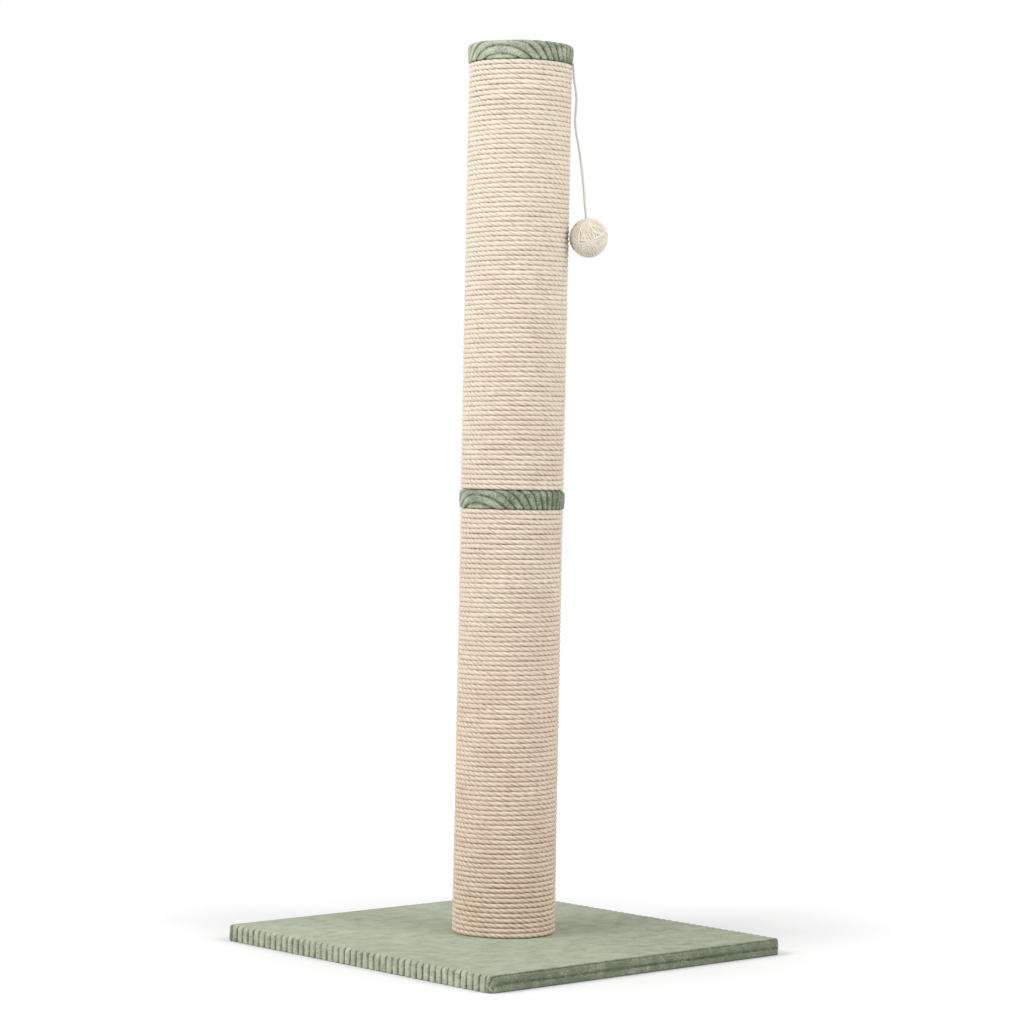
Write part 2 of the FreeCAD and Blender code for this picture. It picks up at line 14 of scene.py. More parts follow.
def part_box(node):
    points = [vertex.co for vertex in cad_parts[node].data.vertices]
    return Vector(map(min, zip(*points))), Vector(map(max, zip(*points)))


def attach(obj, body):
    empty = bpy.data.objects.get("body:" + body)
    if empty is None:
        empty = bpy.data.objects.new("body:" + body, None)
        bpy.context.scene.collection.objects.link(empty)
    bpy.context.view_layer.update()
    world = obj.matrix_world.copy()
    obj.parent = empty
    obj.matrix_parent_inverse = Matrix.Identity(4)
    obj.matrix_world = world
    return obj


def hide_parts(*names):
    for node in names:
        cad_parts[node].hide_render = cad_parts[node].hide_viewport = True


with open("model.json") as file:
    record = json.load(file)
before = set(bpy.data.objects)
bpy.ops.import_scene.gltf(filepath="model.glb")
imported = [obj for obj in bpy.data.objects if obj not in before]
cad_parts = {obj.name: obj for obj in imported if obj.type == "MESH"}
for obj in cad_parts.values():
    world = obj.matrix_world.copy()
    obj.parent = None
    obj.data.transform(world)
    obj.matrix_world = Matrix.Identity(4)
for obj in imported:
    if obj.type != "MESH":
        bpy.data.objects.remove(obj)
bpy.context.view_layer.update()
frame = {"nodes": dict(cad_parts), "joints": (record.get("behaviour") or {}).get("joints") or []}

bl_info = {
    "name": "Cat scratching post",
    "version": (1, 0, 0),
    "blender": (4, 5, 0),
    "location": "3D View > Sidebar > Scratching post",
    "description": "Models the rope, plush and toy of a cat scratching post round its frame",
    "category": "Object",
}

JOINTS = {joint["name"]: joint for joint in frame["joints"]}
MM = 0.001
UP = Vector((0, 0, 1))

# Places that the frame gives
BASE_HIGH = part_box("base_plush_cover")[1]
BOARD_LOW, BOARD_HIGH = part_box("base_board")
FELT_LOW, FELT_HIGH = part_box("base_underside_felt")
TUBE_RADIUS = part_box("lower_tube")[1].x
POSTS = ("lower", "upper")
BOX = {post: {part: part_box(f"{post}_{part}") for part in ("sisal_winding", "plush_cap")}
       for post in POSTS}
WINDING_HEIGHT = BOX["lower"]["sisal_winding"][1].z - BOX["lower"]["sisal_winding"][0].z
SKIRT_EDGE = BOX["upper"]["plush_cap"][0].z
CAP_RADIUS = BOX["upper"]["plush_cap"][1].x

# Rope, plush and felt
STRANDS = 3                              # in the rope, the yarn and the cord
STOPS_SHORT = 0.25                       # of a turn, left off the end of each winding
HALVES_MEET = 0.125                      # of a turn before the middle one
UPPER_TURN = math.radians(18.0)          # the upper post stands turned from the lower one
CAP_ACROSS = math.radians(-156.7)        # the way across the upper cap's wales
CAP_STEPS = 480                          # outlines round a cap
ACROSS_ONE_WALE = (0.0, 0.05, 0.13, 0.28, 0.5, 0.72, 0.87, 0.95)  # points, closer at the groove
ALONG_STEPS = 60                         # points along each side that the wales run along
CORNER_STEPS = 8                         # points round each of the base's corners
FLAT_GROOVE_SHADE = 0.2                        # how much painted shade darkens the grooves where the pile is brushed flat
FLAT_RUFFLE = 0.25                       # how ruffled the pile is there
FELT_HOLE_RADIUS = 17.5 * MM             # clear of the bolt's recess

# Toy: the route's points are distances out from the rope and down from the skirt's edge
ROPE_OUTSIDE = 0.0658
OUTWARDS = Vector(JOINTS["toy_swing_side"]["axis"])
CORD_TOP = Vector(JOINTS["toy_swing_out"]["pos_m"])
BALL_MIDDLE = Vector(JOINTS["toy_ball_spin"]["pos_m"])
CORD_LINE = Vector(JOINTS["toy_ball_spin"]["axis"])
KNOT_DEPTH = 0.0149                      # of the knot's middle from the ball's middle
HOLE_DEPTH = 0.0215                      # of the core's hole, from the ball's middle to clear of it
CORD_END = 0.0171                        # of the cord, in its knot, from the ball's middle
BEND_ROOM = 1.0 * MM                     # between the point that the cord bends about and each end
CORD_ROUTE = [
    (0.0017, 0.0030),
    (0.0028, 0.0200),
    (0.0066, 0.0380),
    (0.0064, 0.0540),
    (0.0051, 0.0690),
    (0.0064, 0.0835),
    (0.0098, 0.0990),
    (0.0131, 0.1180),
    (0.0160, 0.1385),
    (0.0184, 0.1590),
    (0.0201, 0.1810),
]
TAIL_ROUTE = [(0.0017, 0.0020), (0.0017, -0.0016), (-0.0041, -0.0064), (-0.0041, -0.0170)]

# Stage: the camera is fitted to the base's corners and the posts' outline in the photograph
CAMERA_PLACE = (-2.7543, -2.9653, 0.6291)
CAMERA_YAW, CAMERA_PITCH, CAMERA_ROLL = (math.radians(angle) for angle in (-42.894, 1.057, 1.144))
CAMERA_LENS = 112.13
KEY_PLACE = (-2.75, 0.5, 2.35)
FILL_PLACE = (0.9, -2.8, 2.2)
LAMP_AIM = (0, 0, 0.9)
LAMP_SIDE = 1.8
FLOOR_SIDE = 30
FLOOR_PALE = 0.8                         # the floor's own colour, on all three channels
GLOW_FROM, GLOW_TO = 0.3, 1.5            # distances between which the floor turns to white
GLOW_NEAR, GLOW_FAR = 0.03, 0.75         # how much it glows for the camera at these distances


# ---- settings ----

def length(name, description, default):
    return bpy.props.FloatProperty(name=name, description=description, default=default,
                                   unit="LENGTH", precision=5)


def colour(name, description, default):
    return bpy.props.FloatVectorProperty(name=name, description=description, default=default,
                                         subtype="COLOR", size=3, min=0, max=1)


class RopeSettings(bpy.types.PropertyGroup):
    diameter: length("Diameter", "Over the crests of the strands, before they press together", 7.0 * MM)
    pitch: length("Pitch", "Height of one turn on the post", 6.11 * MM)
    lay: length("Lay", "Length in which a strand goes once round the rope", 27.3 * MM)
    step: length("Step", "Distance between two outlines along the rope", 2.2 * MM)
    settle_turns: bpy.props.FloatProperty(
        name="Settling turns", description="Turns at each end in which the rows level out", default=14)
    start: bpy.props.FloatProperty(
        name="Start", description="Where the rope's foot is stapled on the lower post",
        default=math.radians(92), subtype="ANGLE")
    pale: colour("Pale", "Bleached fibre", (0.86, 0.79, 0.66))
    # Deep: painted shade in the valleys between the strands
    deep: colour("Deep", "Between the strands", (0.48, 0.37, 0.26))
    blush: colour("Blush", "Pinkish patches", (0.84, 0.73, 0.60))
    # Warm colours: the rope is warmer and darker towards the floor, and warm deep is the painted shade
    # between strands there
    warm: colour("Warm", "Fibre near the floor", (0.84, 0.72, 0.57))
    warm_deep: colour("Warm deep", "Between the strands near the floor", (0.34, 0.23, 0.15))
    warm_blush: colour("Warm blush", "Pinkish patches near the floor", (0.79, 0.60, 0.47))


class PlushSettings(bpy.types.PropertyGroup):
    pitch: length("Wale pitch", "Distance between two grooves on the base", 11.2 * MM)
    cap_pitch: length("Cap wale pitch", "Distance between two grooves on a cap", 10.8 * MM)
    depth: length("Wale depth", "Depth of a groove where the plush turns an edge", 2.4 * MM)
    flat_depth: length("Flat depth", "Depth of a groove where the pile is brushed flat", 0.4 * MM)
    fade: length("Fade", "Distance in which the grooves close on the flat", 7.0 * MM)
    corner: length("Corner", "Radius of the base's corners, seen from above", 10.0 * MM)
    rim: length("Rim", "Radius of the plush over the board's upper edge", 4.5 * MM)
    foot: length("Foot", "Radius of the plush under the board's lower edge", 2.0 * MM)
    thickness: length("Thickness", "Backing and pile", 3.0 * MM)
    hem: length("Hem", "Width of the plush turned under the board", 35.0 * MM)
    cap_rim: length("Cap rim", "Radius of the plush over the post's end", 6.0 * MM)
    # Pale and deep are mixed by the pile's tone, which also holds painted shade
    pale: colour("Pale", "Pile brushed smooth", (0.50, 0.54, 0.41))
    deep: colour("Deep", "Pile standing up", (0.14, 0.17, 0.11))
    # Groove: painted shade at the bottom of the grooves between wales
    groove: colour("Groove", "Between two wales", (0.05, 0.065, 0.04))


class ToySettings(bpy.types.PropertyGroup):
    cord_diameter: length("Cord diameter", "Over the strands", 2.8 * MM)
    cord_lay: length("Cord lay", "Length of one twist of the cord", 9.0 * MM)
    twine_diameter: length("Twine diameter", "Of the yarn wound on the ball", 3.3 * MM)
    twine_lay: length("Twine lay", "Length of one twist of the yarn", 11.0 * MM)
    ball_radius: length("Ball radius", "Over the yarn", 25.2 * MM)
    first_radius: length("First layer", "Radius of the yarn's first turns", 20.8 * MM)
    bands: bpy.props.IntProperty(name="Bands", description="Changes of winding direction", default=20)
    loops: bpy.props.IntProperty(name="Loops", description="Turns in one band", default=4)
    cord: colour("Cord", "Bleached cotton", (0.76, 0.77, 0.73))
    # Cord shade: random soiling, and painted shade between the strands
    cord_dirt_and_shade: colour("Cord shade", "Between the strands", (0.46, 0.48, 0.42))
    twine: colour("Twine", "Pale yarn", (0.95, 0.92, 0.85))
    # Twine deep: painted shade between the yarn's strands
    twine_deep: colour("Twine deep", "Between the yarn's strands", (0.58, 0.45, 0.30))
    twine_shade: colour("Twine shade", "Tan stretches of yarn", (0.90, 0.80, 0.64))


class StageSettings(bpy.types.PropertyGroup):
    key: bpy.props.FloatProperty(name="Key", description="Large lamp at the left", default=77,
                                 subtype="POWER")
    fill: bpy.props.FloatProperty(name="Fill", description="Large lamp at the right", default=54,
                                  subtype="POWER")
    sky: bpy.props.FloatProperty(name="Sky", description="Light from all round", default=0.6)


# ---- working by hand ----

def pick(*pieces):
    """Selects these pieces alone, with the first active."""
    bpy.ops.object.select_all(action="DESELECT")
    for piece in pieces:
        piece.select_set(True)
    bpy.context.view_layer.objects.active = pieces[0]


def link(name, data):
    """A new object with this data, selected."""
    piece = bpy.data.objects.new(name, data)
    bpy.context.scene.collection.objects.link(piece)
    pick(piece)
    return piece


def meshed(name, points, edges=(), faces=()):
    """A new piece with a mesh of these points, edges and faces."""
    data = bpy.data.meshes.new(name)
    data.from_pydata(points, edges, faces)
    return link(name, data)


def tidy_mesh(piece, reach=1e-6):
    """Closes seams and poles, and turns every face outwards."""
    pick(piece)
    bpy.ops.object.mode_set(mode="EDIT")
    bpy.ops.mesh.select_all(action="SELECT")
    bpy.ops.mesh.remove_doubles(threshold=reach)
    bpy.ops.mesh.normals_make_consistent(inside=False)
    bpy.ops.object.mode_set(mode="OBJECT")


def dress(piece, material, slot, body, *nodes):
    """Gives a piece its finish and its body, and hides the nodes that it stands for."""
    piece.data.materials.clear()
    piece.data.materials.append(material)
    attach(piece, body)
    if nodes:
        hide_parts(*nodes)


def spots(piece):
    """The piece's points as an array."""
    flat = np.empty(len(piece.data.vertices) * 3)
    piece.data.vertices.foreach_get("co", flat)
    return flat.reshape(-1, 3)


def set_spots(piece, points):
    """Moves the piece's points to these places."""
    piece.data.vertices.foreach_set("co", points.astype(np.float32).ravel())
    piece.data.update()


def mark(piece, **values):
    """Keeps a number of each name for each point, for the material to read."""
    for name, numbers in values.items():
        layer = piece.data.attributes.new(name, "FLOAT", "POINT")
        layer.data.foreach_set("value", np.asarray(numbers, np.float32))


def unevenness(points, wavelength, seed):
    """Smooth hand-made unevenness, from about -1 to 1, at each of these points."""
    chance = np.random.default_rng(seed)
    total = np.zeros(len(points))
    waves = 6
    for _ in range(waves):
        heading = chance.normal(size=points.shape[1])
        heading /= np.linalg.norm(heading)
        turns = points @ heading / (wavelength * chance.uniform(0.7, 1.5))
        total += np.sin(2 * math.pi * turns + chance.uniform(0, 2 * math.pi))
    return total / math.sqrt(waves * 2)


def smooth(share):
    """Eases a share from 0 to 1."""
    share = np.clip(share, 0, 1)
    return share * share * (3 - 2 * share)


# ---- laid rope ----

def strand_outline(radius, valley):
    """The outline of a rope of several strands: a crest, two shoulders and a valley for each."""
    shape = [(0.0, 1.0), (0.3, 0.94), (0.5, valley), (0.7, 0.94)]
    outline = bpy.data.curves.new("strand_outline", "CURVE")
    outline.dimensions = "2D"
    spline = outline.splines.new("POLY")
    spline.points.add(STRANDS * len(shape) - 1)
    spline.use_cyclic_u = True
    for strand in range(STRANDS):
        for index, (share, reach) in enumerate(shape):
            angle = 2 * math.pi * (strand + share) / STRANDS
            point = spline.points[strand * len(shape) + index]
            point.co = (radius * reach * math.cos(angle), radius * reach * math.sin(angle), 0, 1)
    return link("strand_outline", outline)


def measure_map(piece, whole):
    """Makes the rope's own map run in metres along it, for fibres of one size in every piece."""
    layer = piece.data.uv_layers[0].data
    flat = np.empty(len(layer) * 2)
    layer.foreach_get("uv", flat)
    flat[0::2] *= whole
    layer.foreach_set("uv", flat)


def laid_rope(name, points, diameter, lay, seed, valley=0.72, upright=False):
    """Strands laid round each other along these points, right-handed, with uneven twist."""
    points = np.asarray(points, float)
    travelled = np.concatenate([[0], np.cumsum(np.linalg.norm(np.diff(points, axis=0), axis=1))])
    drift = 3.2 * unevenness(travelled[:, None], lay * 19, seed)
    drift = drift + 0.8 * unevenness(travelled[:, None], lay * 4.3, seed + 50)
    twist = 2 * math.pi * travelled / lay + drift
    path = bpy.data.curves.new(name, "CURVE")
    path.dimensions = "3D"
    path.twist_mode = "Z_UP" if upright else "MINIMUM"
    spline = path.splines.new("POLY")
    spline.points.add(len(points) - 1)
    spline.points.foreach_set("co", np.column_stack([points, np.ones(len(points))]).ravel())
    spline.points.foreach_set("tilt", twist)
    swell = 1 + 0.035 * unevenness(travelled[:, None], lay * 0.9, seed + 90)
    swell = swell + 0.04 * unevenness(travelled[:, None], lay * 0.28, seed + 91)
    spline.points.foreach_set("radius", swell)
    outline = strand_outline(diameter / 2, valley)
    path.bevel_mode = "OBJECT"
    path.bevel_object = outline
    path.use_fill_caps = True
    piece = link(name, path)
    bpy.ops.object.convert(target="MESH")
    bpy.data.objects.remove(outline)
    measure_map(piece, travelled[-1])
    bpy.ops.object.shade_smooth()
    bpy.ops.object.mode_set(mode="EDIT")
    bpy.ops.mesh.select_all(action="DESELECT")
    bpy.ops.mesh.select_non_manifold()
    bpy.ops.mesh.mark_sharp()
    bpy.ops.object.mode_set(mode="OBJECT")
    tidy_mesh(piece)
    return piece


def winding_points(settings, foot, turned, first, last):
    """The rope's centre line from one turn to another: level at both ends, and rising between."""
    turns = round(WINDING_HEIGHT / settings.pitch)
    rise = WINDING_HEIGHT / turns
    end = turns - STOPS_SHORT
    radius = ROPE_OUTSIDE - settings.diameter / 2
    count = round((last - first) * 2 * math.pi * radius / settings.step)
    turn = np.linspace(first, last, count + 1)
    step_share = 0.25                    # of a turn, in which a level row rises to the next
    stepped = np.floor(turn) + smooth((turn % 1 - 1 + step_share) / step_share)
    steady = turn * (turns - 1) / end
    near_end = np.minimum(turn, end - turn) / settings.settle_turns
    level = steady + (stepped - steady) * (1 - smooth(near_end))
    along = turn[:, None] * 2 * math.pi * radius
    level = level + 0.045 * unevenness(along, 0.09, 3) * smooth(near_end * settings.settle_turns)
    reach = radius + 0.15 * MM * unevenness(along, 0.045, 4)
    angle = settings.start + turned + 2 * math.pi * turn
    return np.column_stack([reach * np.cos(angle), reach * np.sin(angle), foot + (level + 0.5) * rise])


def press_winding(piece, foot):
    """Flattens the rope against the tube, the plush under it and the cap over it."""
    off_tube = 0.1 * MM
    into_plush = 0.2 * MM
    points = spots(piece)
    radius = np.hypot(points[:, 0], points[:, 1])
    pressed = np.maximum(radius, TUBE_RADIUS + off_tube) / radius
    points[:, :2] *= pressed[:, None]
    points[:, 2] = np.clip(points[:, 2], foot - into_plush, foot + WINDING_HEIGHT)
    set_spots(piece, points)


# ---- plush ----

def wale(position):
    """Height of the pile across the wales: 0 in each groove, at whole numbers, and 1 on a crest."""
    off_crest = np.abs(2 * (position % 1) - 1)
    return 1 - off_crest ** 3


def fitted_wales(settings):
    """Half the side of the base without its corners' radii, the wales across it and their pitch."""
    core = BASE_HIGH.x - settings.corner
    wales = round(2 * core / settings.pitch)
    return core, wales, 2 * core / wales


def edge_profile(settings):
    """The plush from the flat top, over the board's edge and under it: inset, height, tilt, length."""
    rim_steps, side_steps, foot_steps = 6, 8, 3
    high = BASE_HIGH.z
    rows = [(inset, high, math.pi / 2, settings.corner - inset)
            for inset in (settings.corner, settings.corner * 0.75)]
    travelled = settings.corner - settings.rim
    for step in range(rim_steps + 1):
        tilt = math.pi / 2 * (1 - step / rim_steps)
        rows.append((settings.rim * (1 - math.cos(tilt)), high - settings.rim * (1 - math.sin(tilt)),
                     tilt, travelled + settings.rim * (math.pi / 2 - tilt)))
    travelled += settings.rim * math.pi / 2
    side = high - settings.rim - settings.foot
    for step in range(1, side_steps):
        down = side * step / side_steps
        rows.append((0.0, high - settings.rim - down, 0.0, travelled + down))
    travelled += side
    for step in range(foot_steps + 1):
        tilt = -math.pi / 2 * step / foot_steps
        rows.append((settings.foot * (1 - math.cos(tilt)), settings.foot * (1 + math.sin(tilt)),
                     tilt, travelled - settings.foot * tilt))
    travelled += settings.foot * math.pi / 2
    for share in (0.15, 0.4, 0.7, 1.0):
        inset = settings.foot + (settings.hem - settings.foot) * share
        rows.append((inset, 0.0, -math.pi / 2, travelled + inset - settings.foot))
    return rows


def base_outline(settings):
    """Round the base: the core's point that each outline point starts from, and its direction."""
    core, wales, _ = fitted_wales(settings)
    places = [(index + share) / wales for index in range(wales) for share in ACROSS_ONE_WALE]
    side = [(core, core * (2 * place - 1), 0.0) for place in places]
    quarter = [math.pi / 2 * step / CORNER_STEPS for step in range(CORNER_STEPS)]
    side += [(core, core, angle) for angle in quarter]
    side += [(core * (1 - 2 * step / ALONG_STEPS), core, math.pi / 2) for step in range(ALONG_STEPS)]
    side += [(-core, core, math.pi / 2 + angle) for angle in quarter]
    return np.array(side + [(-x, -y, angle + math.pi) for x, y, angle in side])


def ring_of(settings, outline, inset, height):
    """The outline drawn in by inset, with its corners rounded as far as they can be."""
    radius = max(settings.corner - inset, 0.0)
    core = fitted_wales(settings)[0]
    drawn = (BASE_HIGH.x - inset - radius) / core
    out = np.column_stack([np.cos(outline[:, 2]), np.sin(outline[:, 2])])
    flat = outline[:, :2] * drawn + out * radius
    return np.column_stack([flat, np.full(len(flat), height)])


def plush_row(settings, outline, inset, height, tilt, travelled):
    """One row of points round the base, and how deep, brushed and ruffled the pile is at each, with
    painted shade in its grooves and on the sides facing ±Y.
    """
    rim_shift = 3.1 * MM                 # of the wales, where they turn over the rim
    flat_past_corner = 2 * MM            # of plush, before its grooves deepen
    lumps = 0.15 * MM
    core, _, wale_pitch = fitted_wales(settings)
    out = np.column_stack([np.cos(outline[:, 2]), np.sin(outline[:, 2]), np.zeros(len(outline))])
    across = out[:, 1]
    ring = ring_of(settings, outline, inset, height)
    shift = travelled + rim_shift * smooth(np.array(travelled / settings.rim))
    position = (outline[:, 1] + shift * across + core) / wale_pitch
    crest = wale(position + 0.05 * unevenness(ring, 0.09, 5))
    steep = smooth(np.array((travelled - flat_past_corner) / settings.fade))
    under = smooth(np.array(-tilt / (math.pi / 2)))
    depth = settings.flat_depth + (settings.depth - settings.flat_depth) * steep * (1 - 0.7 * under)
    depth = depth * (1 - 0.35 * steep * np.abs(across)) * (1 + 0.25 * unevenness(ring, 0.035, 6))
    normal = out * math.cos(tilt) + np.array([0, 0, math.sin(tilt)])
    swell = lumps * unevenness(ring, 0.012, 7)
    sunk = depth * (1 - crest) - np.minimum(swell, 0) * (travelled > 0)
    # Painted shade in the grooves, weaker where the pile is brushed flat
    groove = (1 - crest) * (FLAT_GROOVE_SHADE + (1 - FLAT_GROOVE_SHADE) * steep)
    # Painted shade: the sides facing ±Y are darker, partly for the pile lying across them and partly as
    # shade on those sides
    facing_shade = 0.55 * np.abs(across) - 0.06 * (1 - np.abs(across))
    nap = top_nap(ring) * (1 - steep) + steep * (0.40 + facing_shade + 0.16 * unevenness(ring, 0.02, 14))
    ruffle = FLAT_RUFFLE + 0.45 * steep * np.ones(len(outline))
    return ring - normal * sunk[:, None], groove, nap, ruffle


def base_cover(settings):
    """The plush, from the inner edge of its hem up round the board, with its inside against it."""
    outline = base_outline(settings)
    count = len(outline)
    rows = [plush_row(settings, outline, *row) for row in edge_profile(settings)]
    inside = ((settings.hem, BOARD_LOW.z), (settings.thickness, BOARD_LOW.z),
              (settings.thickness, BOARD_HIGH.z))
    for inset, height in inside:
        rows.append((ring_of(settings, outline, inset, height), np.zeros(count), np.ones(count),
                     np.ones(count)))
    points, groove, nap, ruffle = (np.concatenate(part) for part in zip(*rows))
    faces = []
    for first in range(0, (len(rows) - 1) * count, count):
        for index in range(count):
            after = (index + 1) % count
            faces.append((first + index, first + count + index, first + count + after, first + after))
    faces.append(tuple(range(len(points) - count, len(points))))
    band = meshed("base_cover_band", points.tolist(), faces=faces)
    mark(band, groove=groove, nap=nap, ruffle=ruffle)
    pick(band, base_top(settings))
    bpy.ops.object.join()
    band.name = "base_cover"
    tidy_mesh(band, 0.02 * MM)
    bpy.ops.object.shade_smooth()
    return band


def top_nap(spots_on_top):
    """The pile's tone on the base, with painted shade: darker beyond the posts, as their shadow, and
    towards the −Y edge.
    """
    beyond = spots_on_top @ np.array([0.85, -0.15, 0]) + 0.02 * unevenness(spots_on_top, 0.12, 15)
    in_front = spots_on_top @ np.array([-0.3, -0.95, 0]) + 0.02 * unevenness(spots_on_top, 0.1, 17)
    return 0.37 + 0.13 * smooth((beyond + 0.03) / 0.14) + 0.11 * smooth((in_front + 0.06) / 0.2)


def base_top(settings):
    """The flat of the base: brushed pile, with its grooves nearly closed."""
    margin = 8 * MM                      # in which the flat takes on its own unevenness
    lumps = 0.12 * MM
    core, wales, wale_pitch = fitted_wales(settings)
    rows_y = np.append(base_outline(settings)[:wales * len(ACROSS_ONE_WALE), 1], core)
    rows_x = core * (1 - 2 * np.arange(ALONG_STEPS + 1) / ALONG_STEPS)
    grid = np.array([(x, y, BASE_HIGH.z) for y in rows_y for x in rows_x])
    position = (grid[:, 1] + core) / wale_pitch + 0.05 * unevenness(grid, 0.09, 5)
    crest = wale(position)
    from_edge = core - np.maximum(np.abs(grid[:, 0]), np.abs(grid[:, 1]))
    inside = smooth(from_edge / margin)
    depth = settings.flat_depth * (1 + 0.6 * unevenness(grid * (1, 2.5, 1), 0.08, 8) * inside)
    depth = depth * (1 + 0.25 * unevenness(grid, 0.035, 6) * (1 - inside))
    grid[:, 2] -= depth * (1 - crest)
    grid[:, 2] -= lumps * (1 + unevenness(grid, 0.03, 9)) * inside
    wide = len(rows_x)
    corners = [row * wide + column for row in range(len(rows_y) - 1) for column in range(wide - 1)]
    faces = [(first, first + wide, first + wide + 1, first + 1) for first in corners]
    top = meshed("base_top", grid.tolist(), faces=faces)
    # Painted shade in the top's shallow grooves
    mark(top, groove=(1 - crest) * FLAT_GROOVE_SHADE, nap=top_nap(grid), ruffle=np.full(len(grid), FLAT_RUFFLE))
    return top


def turned_form(name, profile, steps):
    """A closed form turned round the Z axis from a profile of (radius, height)."""
    chain = [(index, index + 1) for index in range(len(profile) - 1)]
    piece = meshed(name, [(radius, 0, height) for radius, height in profile], edges=chain)
    bpy.ops.object.mode_set(mode="EDIT")
    bpy.ops.mesh.select_all(action="SELECT")
    bpy.ops.mesh.spin(steps=steps, angle=2 * math.pi, center=(0, 0, 0), axis=(0, 0, 1))
    bpy.ops.object.mode_set(mode="OBJECT")
    tidy_mesh(piece)
    bpy.ops.object.shade_smooth()
    return piece


def cap_profile(settings, low, high):
    """Out over the post's end, round its rim, down the skirt, and back up inside it."""
    long_steps, rim_steps, hem_steps = 14, 8, 5
    rim = settings.cap_rim
    hem = 1.8 * MM
    taper = 0.6 * MM
    tube_gap = 0.6 * MM
    end_gap = 3 * MM
    rows = [((CAP_RADIUS - rim) * step / long_steps, high) for step in range(long_steps)]
    for step in range(rim_steps + 1):
        tilt = math.pi / 2 * (1 - step / rim_steps)
        rows.append((CAP_RADIUS - rim * (1 - math.cos(tilt)), high - rim * (1 - math.sin(tilt))))
    side = high - rim - low - hem
    for step in range(1, long_steps + 1):
        rows.append((CAP_RADIUS - taper * step / long_steps, high - rim - side * step / long_steps))
    for step in range(1, hem_steps + 1):
        tilt = math.pi * step / hem_steps
        rows.append((CAP_RADIUS - taper - hem * (1 - math.cos(tilt)), low + hem * (1 - math.sin(tilt))))
    inner = TUBE_RADIUS + tube_gap
    return rows + [(inner, low + end_gap), (inner, high - end_gap), (0.0, high - end_gap)]


def plush_cap(settings, post, turned):
    """A disc of plush pulled over a post's end: its wales run one way and turn down the skirt, and its
    side towards the key lamp is painted paler.
    """
    wall = 1.2 * MM                      # what stands further out from the tube is outside
    top_layer = 1.5 * MM                 # what lies less than this under the top is on it
    first_groove = 4.0 * MM              # from the cap's middle
    before_rim, deepening = 6 * MM, 10 * MM  # where the grooves start to deepen, and for how long
    lumps = 0.12 * MM
    hem_height, scallops = 6 * MM, 1.7 * MM
    low, high = (corner.z for corner in BOX[post]["plush_cap"])
    piece = turned_form(f"{post}_cap_plush", cap_profile(settings, low, high), CAP_STEPS)
    points = spots(piece)
    radius = np.hypot(points[:, 0], points[:, 1])
    angle = np.arctan2(points[:, 1], points[:, 0])
    rim_inside = CAP_RADIUS - settings.cap_rim
    outside = radius > TUBE_RADIUS + wall
    top = points[:, 2] > high - top_layer
    drop = high - points[:, 2]
    over_rim = np.clip((radius - rim_inside) / settings.cap_rim, 0, 1)
    tilt = np.where(drop < settings.cap_rim, np.arcsin(over_rim), math.pi / 2)
    travelled = np.where(drop < settings.cap_rim,
                         np.minimum(radius, rim_inside) + settings.cap_rim * tilt,
                         rim_inside + settings.cap_rim * math.pi / 2 + drop - settings.cap_rim)
    across = angle - (CAP_ACROSS - UPPER_TURN + turned)
    position = (travelled * np.cos(across) + first_groove) / settings.cap_pitch
    position = position + 0.12 * unevenness(points, 0.05, 11 + len(post))
    crest = wale(position)
    steep = smooth((travelled - rim_inside + before_rim) / deepening)
    gathered = 0.35 + 0.65 * np.abs(np.sin(across)) ** 0.7
    depth = settings.flat_depth + (1.15 * settings.depth - settings.flat_depth) * steep * gathered
    depth = depth * (1 + 0.3 * unevenness(points, 0.03, 12))
    visible = outside | top
    sunk = np.where(visible, depth * (1 - crest), 0)
    sunk = sunk + np.where(visible, lumps * (1 + unevenness(points, 0.009, 13)), 0)
    outward = np.column_stack([np.cos(angle), np.sin(angle), np.zeros(len(points))])
    normal = outward * np.sin(tilt)[:, None] + np.outer(np.cos(tilt), UP)
    points = points - normal * sunk[:, None]
    hem = smooth(1 - (points[:, 2] - low) / hem_height) * outside
    points[:, 2] += hem * scallops * (1 - crest)
    if post == "upper":
        points = lift_hem(points, low)
    set_spots(piece, points)
    # Painted light: the side of each cap towards the key lamp is paler, the far side darker
    lit = outward @ np.array([-0.77, 0.64, 0])
    darker = 0.68 if post == "lower" else 0.46
    blotch = 0.17 * unevenness(points * (1, 1, 2), 0.03, 16)
    # Painted shade in the cap's grooves, stronger where they turn down the skirt
    mark(piece, groove=np.where(visible, (1 - crest) * (0.15 + 0.85 * steep), 0),
         nap=np.clip(darker - (0.26 * lit - blotch) * steep, 0, 1), ruffle=0.3 + 0.65 * steep)
    return piece


def lift_hem(points, low):
    """The skirt's hem lifts where the toy's cord comes out from under it."""
    half_width, rise, reach = 3.4 * MM, 4.6 * MM, 9 * MM
    beside = np.abs(points[:, :2] @ np.array([-OUTWARDS.y, OUTWARDS.x]))
    in_front = points[:, :2] @ np.array([OUTWARDS.x, OUTWARDS.y]) > 0
    lift = np.exp(-(beside / half_width) ** 2) * in_front
    points[:, 2] += rise * lift * smooth(1 - (points[:, 2] - low) / reach)
    return points


# ---- felt ----

